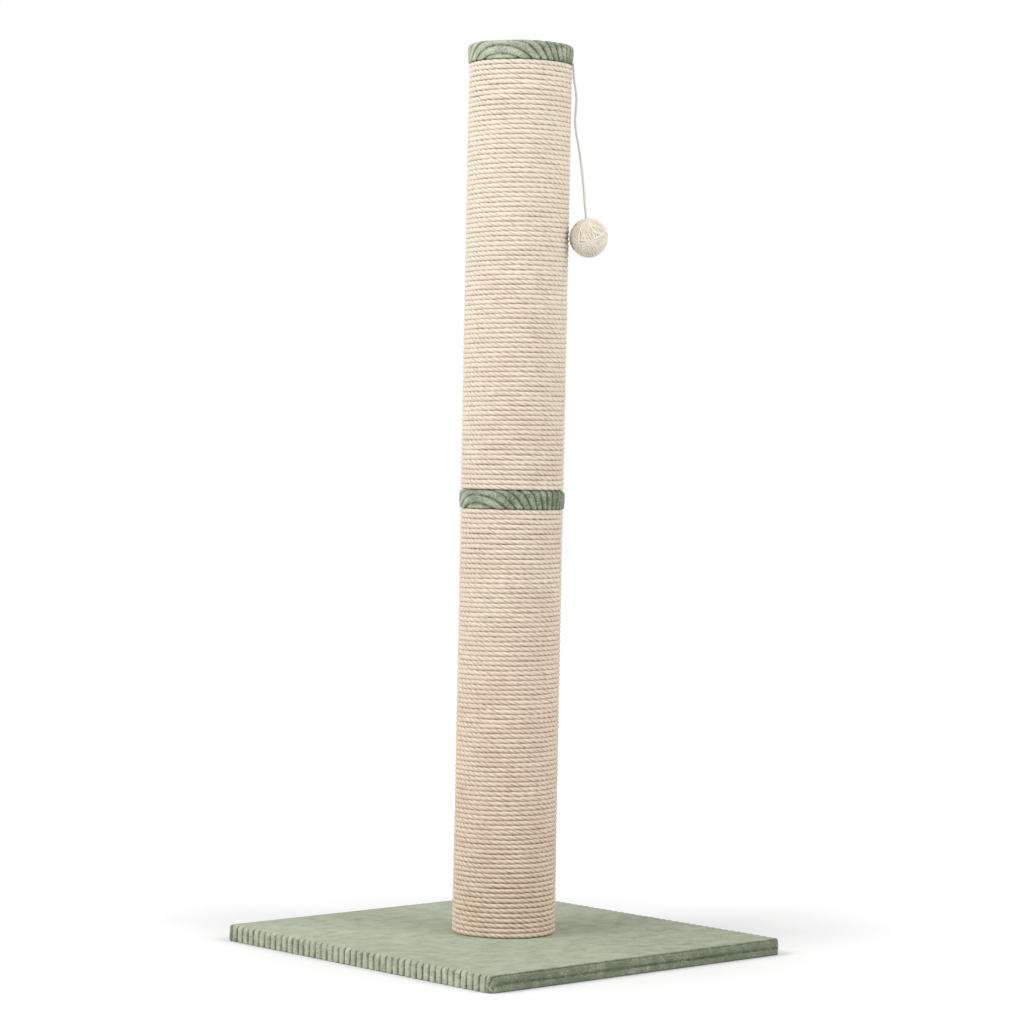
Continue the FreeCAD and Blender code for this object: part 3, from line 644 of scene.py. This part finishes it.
def felt_sheet(side):
    """A square of felt with a round hole for the bolt, a little uneven on its face."""
    squares = 48                         # along each side
    lumps = 0.12 * MM
    room_for_lumps = 0.3 * MM
    bpy.ops.object.select_all(action="DESELECT")
    bpy.ops.mesh.primitive_grid_add(x_subdivisions=squares, y_subdivisions=squares, size=side,
                                    location=(0, 0, FELT_LOW.z))
    felt = bpy.context.active_object
    felt.name = "underside_felt"
    bpy.ops.object.transform_apply(location=True, rotation=True, scale=True)
    bpy.ops.object.mode_set(mode="EDIT")
    mesh = bmesh.from_edit_mesh(felt.data)
    for face in mesh.faces:
        face.select = face.calc_center_median().xy.length < FELT_HOLE_RADIUS
    bmesh.update_edit_mesh(felt.data)
    bpy.ops.mesh.delete(type="FACE")
    mesh = bmesh.from_edit_mesh(felt.data)
    for vert in mesh.verts:
        if vert.is_boundary and vert.co.xy.length < 2 * FELT_HOLE_RADIUS:
            vert.co.xy = vert.co.xy.normalized() * FELT_HOLE_RADIUS
    bmesh.update_edit_mesh(felt.data)
    bpy.ops.object.mode_set(mode="OBJECT")
    points = spots(felt)
    points[:, 2] += lumps * (1 + unevenness(points, 0.05, 41))
    set_spots(felt, points)
    thick = felt.modifiers.new("thickness", "SOLIDIFY")
    thick.thickness = FELT_HIGH.z - FELT_LOW.z - room_for_lumps
    thick.offset = 1
    bpy.ops.object.modifier_apply(modifier=thick.name)
    points = spots(felt)
    points[:, 2] += FELT_LOW.z - points[:, 2].min()
    set_spots(felt, points)
    tidy_mesh(felt)
    bpy.ops.object.shade_smooth_by_angle(angle=math.radians(40))
    return felt


# ---- toy ----

def cord_spot(out, drop):
    """A point of the cord's route, out from the rope and down from the skirt's edge."""
    flat = OUTWARDS * (ROPE_OUTSIDE + out)
    return Vector((flat.x, flat.y, SKIRT_EDGE - drop))


def follow_route(name, controls, resolution):
    """Points read along one smooth spline with these control points."""
    route = bpy.data.curves.new(name, "CURVE")
    route.dimensions = "3D"
    route.resolution_u = resolution
    spline = route.splines.new("NURBS")
    spline.points.add(len(controls) - 1)
    for point, spot in zip(spline.points, controls):
        point.co = (*spot, 1)
    spline.order_u = 3
    spline.use_endpoint_u = True
    guide = link(name, route)
    read = bpy.data.meshes.new_from_object(guide)
    points = np.array([vertex.co for vertex in read.vertices])
    bpy.data.objects.remove(guide)
    return points


def draw_in(piece):
    """Draws an end of the cord in towards the point that it bends about, to clear the other end."""
    points = spots(piece)
    middle = np.array(CORD_TOP)
    beside = np.hypot(*(points - middle)[:, :2].T)
    reach = np.maximum(np.abs(points[:, 2] - middle[2]), BEND_ROOM)
    share = np.minimum(1, 1.08 * reach / np.maximum(beside, 1e-9))
    points[:, :2] = middle[:2] + (points[:, :2] - middle[:2]) * share[:, None]
    set_spots(piece, points)


def pass_hole(piece, radius):
    """Draws the cord in where it goes through the hole in the ball's core."""
    points = spots(piece)
    middle, line = np.array(BALL_MIDDLE), np.array(CORD_LINE)
    height = (points - middle) @ line
    axis = middle + np.outer(height, line)
    beside = np.linalg.norm(points - axis, axis=1)
    share = np.where(height < HOLE_DEPTH, np.minimum(1, radius / np.maximum(beside, 1e-9)), 1)
    set_spots(piece, axis + (points - axis) * share[:, None])


def rounded(piece, radius):
    """Turns a short length of cord into the round form that fills the bend."""
    points = spots(piece)
    middle = np.array(CORD_TOP)
    height = np.clip((points[:, 2] - middle[2]) / radius, -1, 1)
    points[:, :2] = middle[:2] + (points[:, :2] - middle[:2]) * np.sqrt(1 - height ** 2)[:, None]
    set_spots(piece, points)
    tidy_mesh(piece)


def wound_points(settings):
    """One length of yarn wound on a ball, in bands of parallel turns that change direction."""
    per_loop = 72
    gap = settings.twine_diameter * 1.16
    golden_angle = math.pi * (3 - math.sqrt(5))
    poles = []
    for band in range(settings.bands):
        height = (0.35 + band * 0.618) % 1
        around = band * golden_angle
        level = math.sqrt(1 - height * height)
        poles.append(Vector((level * math.cos(around), level * math.sin(around), height)))
    last = settings.ball_radius - settings.twine_diameter / 2
    wide = (settings.loops - 1) / 2
    change_over = 0.7                    # share of a turn in which one band leads into the next
    full_share = 0.6                     # share of the yarn that fills the ball, before its surface
    pole = poles[0]
    side = pole.orthogonal().normalized()
    points = []
    total = settings.bands * settings.loops * per_loop
    for index in range(total):
        band, within = divmod(index / per_loop, settings.loops)
        band = int(band)
        after = poles[min(band + 1, settings.bands - 1)]
        change = float(smooth((within - settings.loops + change_over) / change_over))
        target = poles[band].slerp(after, change)
        lean = pole.rotation_difference(target)
        side = (lean @ side).normalized()
        pole = target
        side = (side - pole * side.dot(pole)).normalized()
        side = Matrix.Rotation(2 * math.pi / per_loop, 3, pole) @ side
        offset = gap * ((within / settings.loops * 2 - 1) * wide) * (1 - change) - gap * wide * change
        outer = index / total
        stacked = 0.3 * outer
        if outer >= full_share:
            stacked = 0.45 + 0.55 * (outer - full_share) / (1 - full_share)
        radius = settings.first_radius + (last - settings.first_radius) * stacked
        points.append(BALL_MIDDLE + side * math.sqrt(radius ** 2 - offset ** 2) + pole * offset)
    return points


def knotted_end(settings):
    """The overhand knot that holds the cord in the ball."""
    size = settings.cord_diameter * 0.34
    middle = BALL_MIDDLE + CORD_LINE * KNOT_DEPTH
    frame_turn = CORD_LINE.to_track_quat("Z", "Y")
    steps = 120
    points = []
    for step in range(steps + 1):
        angle = 2 * math.pi * step / steps
        spot = Vector((math.sin(angle) + 2 * math.sin(2 * angle),
                       math.cos(angle) - 2 * math.cos(2 * angle), -math.sin(3 * angle)))
        points.append(middle + frame_turn @ (spot * size / 2))
    return laid_rope("toy_cord_end_knot", points, size * 1.4, settings.cord_lay, 25)


# ---- materials ----

def add(tree, kind, inputs=None, **choices):
    """One node, with inputs given by name or place as values or as sockets to link."""
    node = tree.nodes.new(kind)
    for name, value in choices.items():
        setattr(node, name, value)
    for name, value in (inputs or {}).items():
        if isinstance(value, bpy.types.NodeSocket):
            tree.links.new(value, node.inputs[name])
        else:
            node.inputs[name].default_value = value
    return node


def reckon(tree, operation, *values):
    """The result of one piece of arithmetic on sockets and numbers."""
    return add(tree, "ShaderNodeMath", dict(enumerate(values)), operation=operation).outputs[0]


def spread(tree, value, low, high, least=0.0, most=1.0):
    """Values from low to high, spread over least to most."""
    return add(tree, "ShaderNodeMapRange", {"Value": value, "From Min": low, "From Max": high,
                                            "To Min": least, "To Max": most}).outputs[0]


def clamped(tree, value):
    """A value held between 0 and 1."""
    return add(tree, "ShaderNodeClamp", {"Value": value}).outputs[0]


def mixed_colour(tree, share, first, second):
    """The first colour, turning to the second as the share rises."""
    return add(tree, "ShaderNodeMix", {"Factor": share, 6: first, 7: second}, data_type="RGBA").outputs[2]


def effect(name, inputs, outputs):
    """A new node group: its tree, what comes in and where its results go."""
    group = bpy.data.node_groups.new(name, "ShaderNodeTree")
    for label, kind, default in inputs:
        socket = group.interface.new_socket(label, in_out="INPUT", socket_type=kind)
        if default is not None:
            socket.default_value = default
    for label, kind in outputs:
        group.interface.new_socket(label, in_out="OUTPUT", socket_type=kind)
    return group, group.nodes.new("NodeGroupInput").outputs, group.nodes.new("NodeGroupOutput").inputs


FLOAT, VECTOR, COLOR = "NodeSocketFloat", "NodeSocketVector", "NodeSocketColor"


def patches_effect():
    """Soft patches between 0 and 1, stretched by a scale for each axis."""
    group, given, result = effect(
        "patches",
        [("Place", VECTOR, None), ("Stretch", VECTOR, (1, 1, 1)), ("Scale", FLOAT, 10.0),
         ("Detail", FLOAT, 3.0), ("Low", FLOAT, 0.35), ("High", FLOAT, 0.65)],
        [("Mask", FLOAT)])
    placed = add(group, "ShaderNodeVectorMath", {0: given["Place"], 1: given["Stretch"]},
                 operation="MULTIPLY")
    noise = add(group, "ShaderNodeTexNoise", {"Vector": placed.outputs[0], "Scale": given["Scale"],
                                              "Detail": given["Detail"], "Roughness": 0.6})
    mask = spread(group, noise.outputs["Fac"], given["Low"], given["High"])
    group.links.new(mask, result["Mask"])
    return group


def blend_effect():
    """Two colours mixed by a mask, then darkened towards a third by another."""
    group, given, result = effect(
        "blend_of_three",
        [("First", COLOR, (1, 1, 1, 1)), ("Second", COLOR, (1, 1, 1, 1)), ("Mask", FLOAT, 0.5),
         ("Third", COLOR, (0, 0, 0, 1)), ("Third mask", FLOAT, 0.0)],
        [("Color", COLOR)])
    mixed = mixed_colour(group, given["Mask"], given["First"], given["Second"])
    mixed = mixed_colour(group, given["Third mask"], mixed, given["Third"])
    group.links.new(mixed, result["Color"])
    return group


def fuzz_effect():
    """A fine uneven surface: coarse lumps and single hairs, as a height."""
    group, given, result = effect(
        "fuzz",
        [("Place", VECTOR, None), ("Stretch", VECTOR, (1, 1, 1)), ("Lumps", FLOAT, 300.0),
         ("Hairs", FLOAT, 1500.0), ("Hair share", FLOAT, 0.5)],
        [("Height", FLOAT)])
    placed = add(group, "ShaderNodeVectorMath", {0: given["Place"], 1: given["Stretch"]},
                 operation="MULTIPLY")
    lumps, hairs = (
        add(group, "ShaderNodeTexNoise", {"Vector": placed.outputs[0], "Scale": given[size],
                                          "Detail": detail}).outputs["Fac"]
        for size, detail in (("Lumps", 2.0), ("Hairs", 3.0)))
    mixed = add(group, "ShaderNodeMix", {"Factor": given["Hair share"], 2: lumps, 3: hairs},
                data_type="FLOAT")
    group.links.new(mixed.outputs[0], result["Height"])
    return group


EFFECTS = {"patches": patches_effect, "blend_of_three": blend_effect, "fuzz": fuzz_effect}


def use(tree, name, inputs):
    """Places a shared effect, which is built the first time that it is used."""
    group = bpy.data.node_groups.get(name) or EFFECTS[name]()
    return add(tree, "ShaderNodeGroup", inputs, node_tree=group)


def finish_named(name, roughness, **constants):
    """A new material's tree, its shader, and the object's own coordinates."""
    material = bpy.data.materials.new(name)
    material.use_nodes = True
    tree = material.node_tree
    shader = tree.nodes["Principled BSDF"]
    shader.inputs["Roughness"].default_value = roughness
    for label, value in constants.items():
        shader.inputs[label.replace("_", " ")].default_value = value
    place = add(tree, "ShaderNodeTexCoord").outputs["Object"]
    return material, tree, shader, place


def solid(colour_or_socket):
    """A colour with its alpha, or a socket as it is."""
    if isinstance(colour_or_socket, bpy.types.NodeSocket):
        return colour_or_socket
    return (*colour_or_socket, 1.0)


def mask_of(tree, place, scale, low, high, stretch=(1, 1, 1), detail=3.0):
    """The shared patches, at this scale."""
    return use(tree, "patches", {"Place": place, "Stretch": stretch, "Scale": scale, "Detail": detail,
                                 "Low": low, "High": high}).outputs["Mask"]


def three_colours(tree, shader, first, second, mask, third, third_mask):
    """Gives the shader two colours mixed by a mask, under a third."""
    mixed = use(tree, "blend_of_three", {"First": solid(first), "Second": solid(second), "Mask": mask,
                                         "Third": solid(third), "Third mask": third_mask})
    tree.links.new(mixed.outputs["Color"], shader.inputs["Base Color"])


def roughen(tree, shader, height, distance, strength=1.0):
    """Gives the shader a bump of this height."""
    bump = add(tree, "ShaderNodeBump", {"Height": height, "Distance": distance, "Strength": strength})
    tree.links.new(bump.outputs["Normal"], shader.inputs["Normal"])


# Its mask is used to paint shade into the strands' valleys
def strand_valley(tree):
    """1 in the valleys between a laid rope's strands and 0 on their crests, and the rope's own place."""
    own = add(tree, "ShaderNodeUVMap", uv_map="UVMap").outputs["UV"]
    around = add(tree, "ShaderNodeSeparateXYZ", {0: own}).outputs["Y"]
    share = reckon(tree, "FRACT", reckon(tree, "MULTIPLY", around, float(STRANDS)))
    off = reckon(tree, "ABSOLUTE", reckon(tree, "SUBTRACT", share, 0.5))
    return spread(tree, off, 0.22, 0.0), own


def sisal_finish(name, shades, warmer=None):
    """Hard fibre: single hairs along each strand, painted shade in the lay, and warmer and darker towards
    the floor.
    """
    material, tree, shader, place = finish_named(name, 0.78, Sheen_Weight=0.15, Sheen_Roughness=0.5)
    pale, deep, blush = shades
    if warmer:
        height = add(tree, "ShaderNodeSeparateXYZ", {0: place}).outputs["Z"]
        low = spread(tree, height, 0.95, 0.05)
        pale, deep, blush = (mixed_colour(tree, low, solid(cool), solid(warm))
                             for cool, warm in zip(shades, warmer))
    valley, own = strand_valley(tree)
    patches = mask_of(tree, place, 17.0, 0.38, 0.64, (1, 1, 1.4))
    lengths = mask_of(tree, own, 1.0, 0.40, 0.66, (26.0, 1.0, 1.0), 2.0)
    fibres = mask_of(tree, own, 1.0, 0.44, 0.74, (110.0, 30.0, 1.0), 2.0)
    dashes = mask_of(tree, own, 1.0, 0.42, 0.60, (55.0, 5.0, 1.0), 2.0)
    # Painted shade in the valleys between strands, broken into dashes
    lay_shade = reckon(tree, "MULTIPLY", valley, spread(tree, dashes, 0.0, 1.0, 0.35, 1.2))
    dark = reckon(tree, "MULTIPLY_ADD", lay_shade, 0.7, reckon(tree, "MULTIPLY", fibres, 0.55))
    blushed = reckon(tree, "MULTIPLY_ADD", patches, 0.6, reckon(tree, "MULTIPLY", lengths, 0.35))
    three_colours(tree, shader, pale, blush, blushed, deep, clamped(tree, dark))
    hairs = use(tree, "fuzz", {"Place": own, "Stretch": (125, 60, 1), "Lumps": 0.4, "Hairs": 1.0,
                               "Hair share": 0.6})
    roughen(tree, shader, hairs.outputs["Height"], 0.6 * MM, 0.8)
    return material


def cord_finish(toy):
    """Bleached, softly twisted cotton: soiled in patches, with painted shade between the strands."""
    material, tree, shader, place = finish_named("twisted_cotton", 0.85, Sheen_Weight=0.25)
    valley, own = strand_valley(tree)
    soiled = reckon(tree, "MULTIPLY", mask_of(tree, place, 400.0, 0.35, 0.65), 0.25)
    three_colours(tree, shader, toy.cord, toy.cord_dirt_and_shade, soiled, toy.cord_dirt_and_shade, valley)
    hairs = use(tree, "fuzz", {"Place": own, "Stretch": (300, 30, 1), "Lumps": 0.4, "Hairs": 1.0})
    roughen(tree, shader, hairs.outputs["Height"], 0.3 * MM, 0.6)
    return material


def plush_finish(settings):
    """Cut pile in wide wales: brushed patches and streaks along the wales, painted shade in the grooves
    and on the shaded sides.
    """
    material, tree, shader, place = finish_named("wale_plush", 0.9, Sheen_Weight=0.25,
                                                 Sheen_Roughness=0.4, Specular_IOR_Level=0.25)
    shader.inputs["Sheen Tint"].default_value = solid((0.88, 0.95, 0.80))
    # The pile's tone with painted shade, its ruffle, and the painted shade in its grooves
    nap, ruffle, sunk = (add(tree, "ShaderNodeAttribute", attribute_name=name).outputs["Fac"]
                         for name in ("nap", "ruffle", "groove"))
    brushed = mask_of(tree, place, 46.0, 0.30, 0.70, (0.85, 1.1, 1), 5.0)
    streaks = mask_of(tree, place, 60.0, 0.54, 0.70, (1.0, 2.4, 2.0))
    speckle = mask_of(tree, place, 480.0, 0.32, 0.68)
    broken = mask_of(tree, place, 130.0, 0.30, 0.62)
    shade = reckon(tree, "MULTIPLY_ADD", brushed, 0.36, nap)
    shade = reckon(tree, "MULTIPLY_ADD", streaks, 0.2, shade)
    rough = reckon(tree, "MULTIPLY", reckon(tree, "SUBTRACT", speckle, 0.5), ruffle)
    shade = reckon(tree, "MULTIPLY_ADD", rough, 0.85, shade)
    shade = clamped(tree, reckon(tree, "SUBTRACT", shade, 0.2))
    # Painted shade in the grooves, broken into patches
    dark = reckon(tree, "MULTIPLY", sunk, spread(tree, broken, 0.0, 1.0, 0.45, 1.15))
    three_colours(tree, shader, settings.pale, settings.deep, shade, settings.groove,
                  spread(tree, dark, 0.12, 0.85, 0.0, 0.9))
    pile = use(tree, "fuzz", {"Place": place, "Lumps": 260.0, "Hairs": 1400.0, "Hair share": 0.45})
    roughen(tree, shader, pile.outputs["Height"], 0.9 * MM, 0.7)
    return material


def felt_finish():
    """Needled grey felt."""
    material, tree, shader, place = finish_named("needled_felt", 0.95, Sheen_Weight=0.3)
    fibres = mask_of(tree, place, 300.0, 0.3, 0.7)
    pressed = mask_of(tree, place, 25.0, 0.35, 0.65)
    three_colours(tree, shader, (0.12, 0.12, 0.115), (0.19, 0.19, 0.185), fibres, (0.08, 0.08, 0.08),
                  pressed)
    fuzz = use(tree, "fuzz", {"Place": place, "Lumps": 350.0, "Hairs": 1800.0})
    roughen(tree, shader, fuzz.outputs["Height"], 0.4 * MM)
    return material


def chip_finish():
    """Pressed wood chips."""
    material, tree, shader, place = finish_named("pressed_chips", 0.8)
    chips = add(tree, "ShaderNodeTexVoronoi", {"Vector": place, "Scale": 380.0, "Randomness": 1.0})
    shade = add(tree, "ShaderNodeSeparateColor", {0: chips.outputs["Color"]})
    dust = mask_of(tree, place, 120.0, 0.4, 0.7)
    three_colours(tree, shader, (0.50, 0.36, 0.21), (0.32, 0.21, 0.11), shade.outputs[0],
                  (0.20, 0.12, 0.06), dust)
    roughen(tree, shader, chips.outputs["Distance"], 0.3 * MM, 0.5)
    return material


def ply_finish():
    """Veneers in layers, with grain."""
    material, tree, shader, place = finish_named("birch_ply", 0.65)
    layers = add(tree, "ShaderNodeTexWave", {"Vector": place, "Scale": 100.0, "Distortion": 0.6},
                 bands_direction="Z")
    grain = mask_of(tree, place, 90.0, 0.35, 0.7, (0.15, 2.0, 1))
    three_colours(tree, shader, (0.62, 0.46, 0.28), (0.47, 0.32, 0.17), grain, (0.38, 0.25, 0.13),
                  layers.outputs["Fac"])
    roughen(tree, shader, grain, 0.2 * MM, 0.4)
    return material


def paper_finish():
    """A spirally wound paper tube."""
    material, tree, shader, place = finish_named("spiral_paper", 0.85)
    split = add(tree, "ShaderNodeSeparateXYZ", {0: place})
    round_it = reckon(tree, "ARCTAN2", split.outputs["Y"], split.outputs["X"])
    rise = reckon(tree, "MULTIPLY_ADD", split.outputs["Z"], 10.0, round_it)
    seam = spread(tree, reckon(tree, "PINGPONG", rise, 2 * math.pi), 0.12, 0.0)
    pulp = mask_of(tree, place, 220.0, 0.3, 0.7)
    three_colours(tree, shader, (0.42, 0.30, 0.18), (0.33, 0.23, 0.13), pulp, (0.20, 0.13, 0.07), seam)
    roughen(tree, shader, pulp, 0.1 * MM, 0.4)
    return material


def metal_finish(name, bright, dull, roughness):
    """Plated steel, dulled in patches."""
    material, tree, shader, place = finish_named(name, roughness, Metallic=1.0)
    worn = mask_of(tree, place, 90.0, 0.35, 0.65)
    drawn = mask_of(tree, place, 900.0, 0.3, 0.7, (1, 1, 0.1))
    three_colours(tree, shader, bright, dull, worn, dull, drawn)
    rough = spread(tree, worn, 0.0, 1.0, roughness, roughness + 0.15)
    tree.links.new(rough, shader.inputs["Roughness"])
    roughen(tree, shader, drawn, 0.02 * MM, 0.4)
    return material


def plastic_finish():
    """Moulded white plastic, scuffed."""
    material, tree, shader, place = finish_named("moulded_white", 0.4)
    scuffs = mask_of(tree, place, 150.0, 0.45, 0.7)
    clouds = mask_of(tree, place, 30.0, 0.35, 0.65)
    three_colours(tree, shader, (0.78, 0.78, 0.75), (0.70, 0.70, 0.66), clouds, (0.62, 0.62, 0.60), scuffs)
    roughen(tree, shader, scuffs, 0.05 * MM, 0.3)
    return material


# ---- stage ----

def lay_floor():
    """A pale floor that turns to white away from the object, and keeps its shadow."""
    bpy.ops.object.select_all(action="DESELECT")
    bpy.ops.mesh.primitive_plane_add(size=FLOOR_SIDE, location=(0, 0, 0))
    floor = bpy.context.active_object
    floor.name = "floor"
    bpy.ops.object.transform_apply(location=True, rotation=True, scale=True)
    material, tree, shader, place = finish_named("floor_white", 1.0, Specular_IOR_Level=0.0)
    shader.inputs["Base Color"].default_value = (FLOOR_PALE, FLOOR_PALE, FLOOR_PALE, 1)
    away = add(tree, "ShaderNodeVectorMath", {0: place}, operation="LENGTH").outputs["Value"]
    lift = spread(tree, away, GLOW_FROM, GLOW_TO, GLOW_NEAR, GLOW_FAR)
    seen = add(tree, "ShaderNodeLightPath").outputs["Is Camera Ray"]
    shader.inputs["Emission Color"].default_value = (1, 1, 1, 1)
    tree.links.new(reckon(tree, "MULTIPLY", seen, lift), shader.inputs["Emission Strength"])
    floor.data.materials.append(material)


def light_sky(scene, strength):
    """Light from all round, and a white background for the camera and in gloss."""
    world = bpy.data.worlds.new("studio")
    scene.world = world
    world.use_nodes = True
    tree = world.node_tree
    background = tree.nodes["Background"]
    background.inputs["Color"].default_value = (1, 1, 1, 1)
    rays = add(tree, "ShaderNodeLightPath").outputs
    seen = reckon(tree, "MAXIMUM", rays["Is Camera Ray"], rays["Is Glossy Ray"])
    bright = spread(tree, seen, 0.0, 1.0, strength, 1.0)
    tree.links.new(bright, background.inputs["Strength"])


def hang_lamp(name, power, place):
    """A large soft lamp aimed at the post."""
    data = bpy.data.lights.new(name, "AREA")
    data.energy = power
    data.size = LAMP_SIDE
    lamp = link(name, data)
    lamp.location = place
    lamp.rotation_euler = (Vector(LAMP_AIM) - Vector(place)).to_track_quat("-Z", "Y").to_euler()


def place_camera(scene):
    """The photograph's viewpoint."""
    data = bpy.data.cameras.new("camera")
    data.sensor_width = 36.0
    data.lens = CAMERA_LENS
    data.clip_end = 60.0
    camera = link("camera", data)
    aim = Matrix.Rotation(CAMERA_YAW, 4, "Z")
    aim = aim @ Matrix.Rotation(math.pi / 2 - CAMERA_PITCH, 4, "X")
    aim = aim @ Matrix.Rotation(CAMERA_ROLL, 4, "Z")
    camera.matrix_world = Matrix.Translation(CAMERA_PLACE) @ aim
    scene.camera = camera


# ---- operators: one for each piece or group of like pieces ----

class WindRope(bpy.types.Operator):
    """Winds the sisal rope on both posts"""
    bl_idname = "scratching_post.wind_rope"
    bl_label = "Wind the rope"

    def execute(self, context):
        rope = context.scene.scratching_rope
        finish = sisal_finish("laid_sisal", (rope.pale, rope.deep, rope.blush),
                              (rope.warm, rope.warm_deep, rope.warm_blush))
        turns = round(WINDING_HEIGHT / rope.pitch)
        lead = -rope.diameter / (2 * math.pi * ROPE_OUTSIDE)
        middle = turns // 2 - HALVES_MEET
        parts = (("first", lead, middle), ("second", middle, turns - STOPS_SHORT - lead))
        for number, post in enumerate(POSTS):
            foot = BOX[post]["sisal_winding"][0].z
            for part, first, last in parts:
                points = winding_points(rope, foot, number * UPPER_TURN, first, last)
                piece = laid_rope(f"{post}_rope_{part}_half", points, rope.diameter, rope.lay,
                                  30 + number, upright=True)
                press_winding(piece, foot)
                dress(piece, finish, "sisal_rope", "post", f"{post}_sisal_winding")
        return {"FINISHED"}


class CoverBase(bpy.types.Operator):
    """Stretches the ribbed plush over the base board and staples its hem under it"""
    bl_idname = "scratching_post.cover_base"
    bl_label = "Cover the base"

    def execute(self, context):
        plush = context.scene.scratching_plush
        cover = base_cover(plush)
        finish = bpy.data.materials.get("wale_plush") or plush_finish(plush)
        dress(cover, finish, "sage_plush", "post", "base_plush_cover")
        return {"FINISHED"}


class CoverPosts(bpy.types.Operator):
    """Pulls a disc of plush over the end of each post"""
    bl_idname = "scratching_post.cover_posts"
    bl_label = "Cover the posts' ends"

    def execute(self, context):
        plush = context.scene.scratching_plush
        finish = bpy.data.materials.get("wale_plush") or plush_finish(plush)
        for number, post in enumerate(POSTS):
            cap = plush_cap(plush, post, number * UPPER_TURN)
            dress(cap, finish, "sage_plush", "post", f"{post}_plush_cap")
        return {"FINISHED"}


class HangCord(bpy.types.Operator):
    """Hangs the toy's cord from under the upper cap"""
    bl_idname = "scratching_post.hang_cord"
    bl_label = "Hang the cord"

    def execute(self, context):
        toy = context.scene.scratching_toy
        finish = cord_finish(toy)
        controls = [cord_spot(*spot) for spot in CORD_ROUTE] + [BALL_MIDDLE + CORD_LINE * CORD_END]
        path = follow_route("toy_cord_route", controls, 26)
        path = path[np.linalg.norm(path - np.array(CORD_TOP), axis=1) > BEND_ROOM]
        over_strands = toy.cord_diameter * 1.12
        cord = laid_rope("toy_cord_twisted", path, over_strands, toy.cord_lay, 21)
        draw_in(cord)
        squeezed_radius = toy.cord_diameter * 0.47
        pass_hole(cord, squeezed_radius)
        dress(cord, finish, "white_cord", "toy_hanging", "toy_cord")
        hidden = follow_route("toy_tail_route", [cord_spot(*spot) for spot in TAIL_ROUTE], 12)
        tail = laid_rope("toy_cord_under_skirt", hidden, toy.cord_diameter, toy.cord_lay, 22)
        draw_in(tail)
        dress(tail, finish, "white_cord", "post", "toy_cord_tail")
        reach = over_strands / 2
        through = [CORD_TOP + UP * (reach * math.sin(angle))
                   for angle in np.linspace(-math.pi / 2, math.pi / 2, 13)]
        bend = laid_rope("toy_cord_flex", through, over_strands, toy.cord_lay, 23, valley=0.9)
        rounded(bend, reach)
        dress(bend, finish, "white_cord", "toy_bend", "toy_cord_bend")
        knot = knotted_end(toy)
        dress(knot, finish, "white_cord", "toy_hanging", "toy_cord_knot")
        return {"FINISHED"}


class WindBall(bpy.types.Operator):
    """Winds yarn on the toy's hollow ball"""
    bl_idname = "scratching_post.wind_ball"
    bl_label = "Wind the ball"

    def execute(self, context):
        toy = context.scene.scratching_toy
        finish = sisal_finish("wound_yarn", (toy.twine, toy.twine_deep, toy.twine_shade))
        yarn = laid_rope("toy_yarn", wound_points(toy), toy.twine_diameter, toy.twine_lay, 24)
        dress(yarn, finish, "ball_twine", "toy_ball", "toy_ball_twine")
        return {"FINISHED"}


class LineUnderside(bpy.types.Operator):
    """Glues the felt under the board"""
    bl_idname = "scratching_post.line_underside"
    bl_label = "Line the underside"

    def execute(self, context):
        side = FELT_HIGH.x - FELT_LOW.x
        felt = felt_sheet(side)
        dress(felt, felt_finish(), "grey_felt", "post", "base_underside_felt")
        return {"FINISHED"}


class FinishFrame(bpy.types.Operator):
    """Gives every node of the frame that still shows its own finish"""
    bl_idname = "scratching_post.finish_frame"
    bl_label = "Finish the frame"

    def execute(self, context):
        zinc = metal_finish("zinc_plate", (0.72, 0.73, 0.75), (0.50, 0.51, 0.53), 0.32)
        wire = metal_finish("drawn_wire", (0.62, 0.62, 0.63), (0.42, 0.41, 0.40), 0.4)
        ply, paper = ply_finish(), paper_finish()
        finishes = {"base_board": chip_finish(), "toy_ball_core": plastic_finish()}
        for name, node in frame["nodes"].items():
            if node.hide_render:
                continue
            if name in finishes:
                finish = finishes[name]
            elif name.endswith("_plug"):
                finish = ply
            elif name.endswith("_tube"):
                finish = paper
            elif "staple" in name:
                finish = wire
            else:
                finish = zinc
            node.data.materials.clear()
            node.data.materials.append(finish)
        return {"FINISHED"}


class SetStage(bpy.types.Operator):
    """Sets the pale floor, the lamps and the camera"""
    bl_idname = "scratching_post.set_stage"
    bl_label = "Set the stage"

    def execute(self, context):
        scene = context.scene
        stage = scene.scratching_stage
        lay_floor()
        light_sky(scene, stage.sky)
        hang_lamp("key", stage.key, KEY_PLACE)
        hang_lamp("fill", stage.fill, FILL_PLACE)
        place_camera(scene)
        scene.view_settings.view_transform = "Standard"
        return {"FINISHED"}


OPERATORS = (WindRope, CoverBase, CoverPosts, WindBall, HangCord, LineUnderside, FinishFrame, SetStage)


class BuildPanel(bpy.types.Panel):
    """Lists the steps in their order"""
    bl_idname = "VIEW3D_PT_scratching_post"
    bl_label = "Scratching post"
    bl_space_type = "VIEW_3D"
    bl_region_type = "UI"
    bl_category = "Scratching post"

    def draw(self, context):
        for step in OPERATORS:
            self.layout.operator(step.bl_idname)


SETTINGS = {"scratching_rope": RopeSettings, "scratching_plush": PlushSettings,
            "scratching_toy": ToySettings, "scratching_stage": StageSettings}


def register():
    for kind in (*SETTINGS.values(), *OPERATORS, BuildPanel):
        bpy.utils.register_class(kind)
    for name, kind in SETTINGS.items():
        setattr(bpy.types.Scene, name, bpy.props.PointerProperty(type=kind))


def unregister():
    for name in SETTINGS:
        delattr(bpy.types.Scene, name)
    for kind in (BuildPanel, *reversed(OPERATORS), *SETTINGS.values()):
        bpy.utils.unregister_class(kind)


def main():
    register()
    for step in OPERATORS:
        getattr(bpy.ops.scratching_post, step.bl_idname.split(".")[1])()


if __name__ == "__main__":
    main()
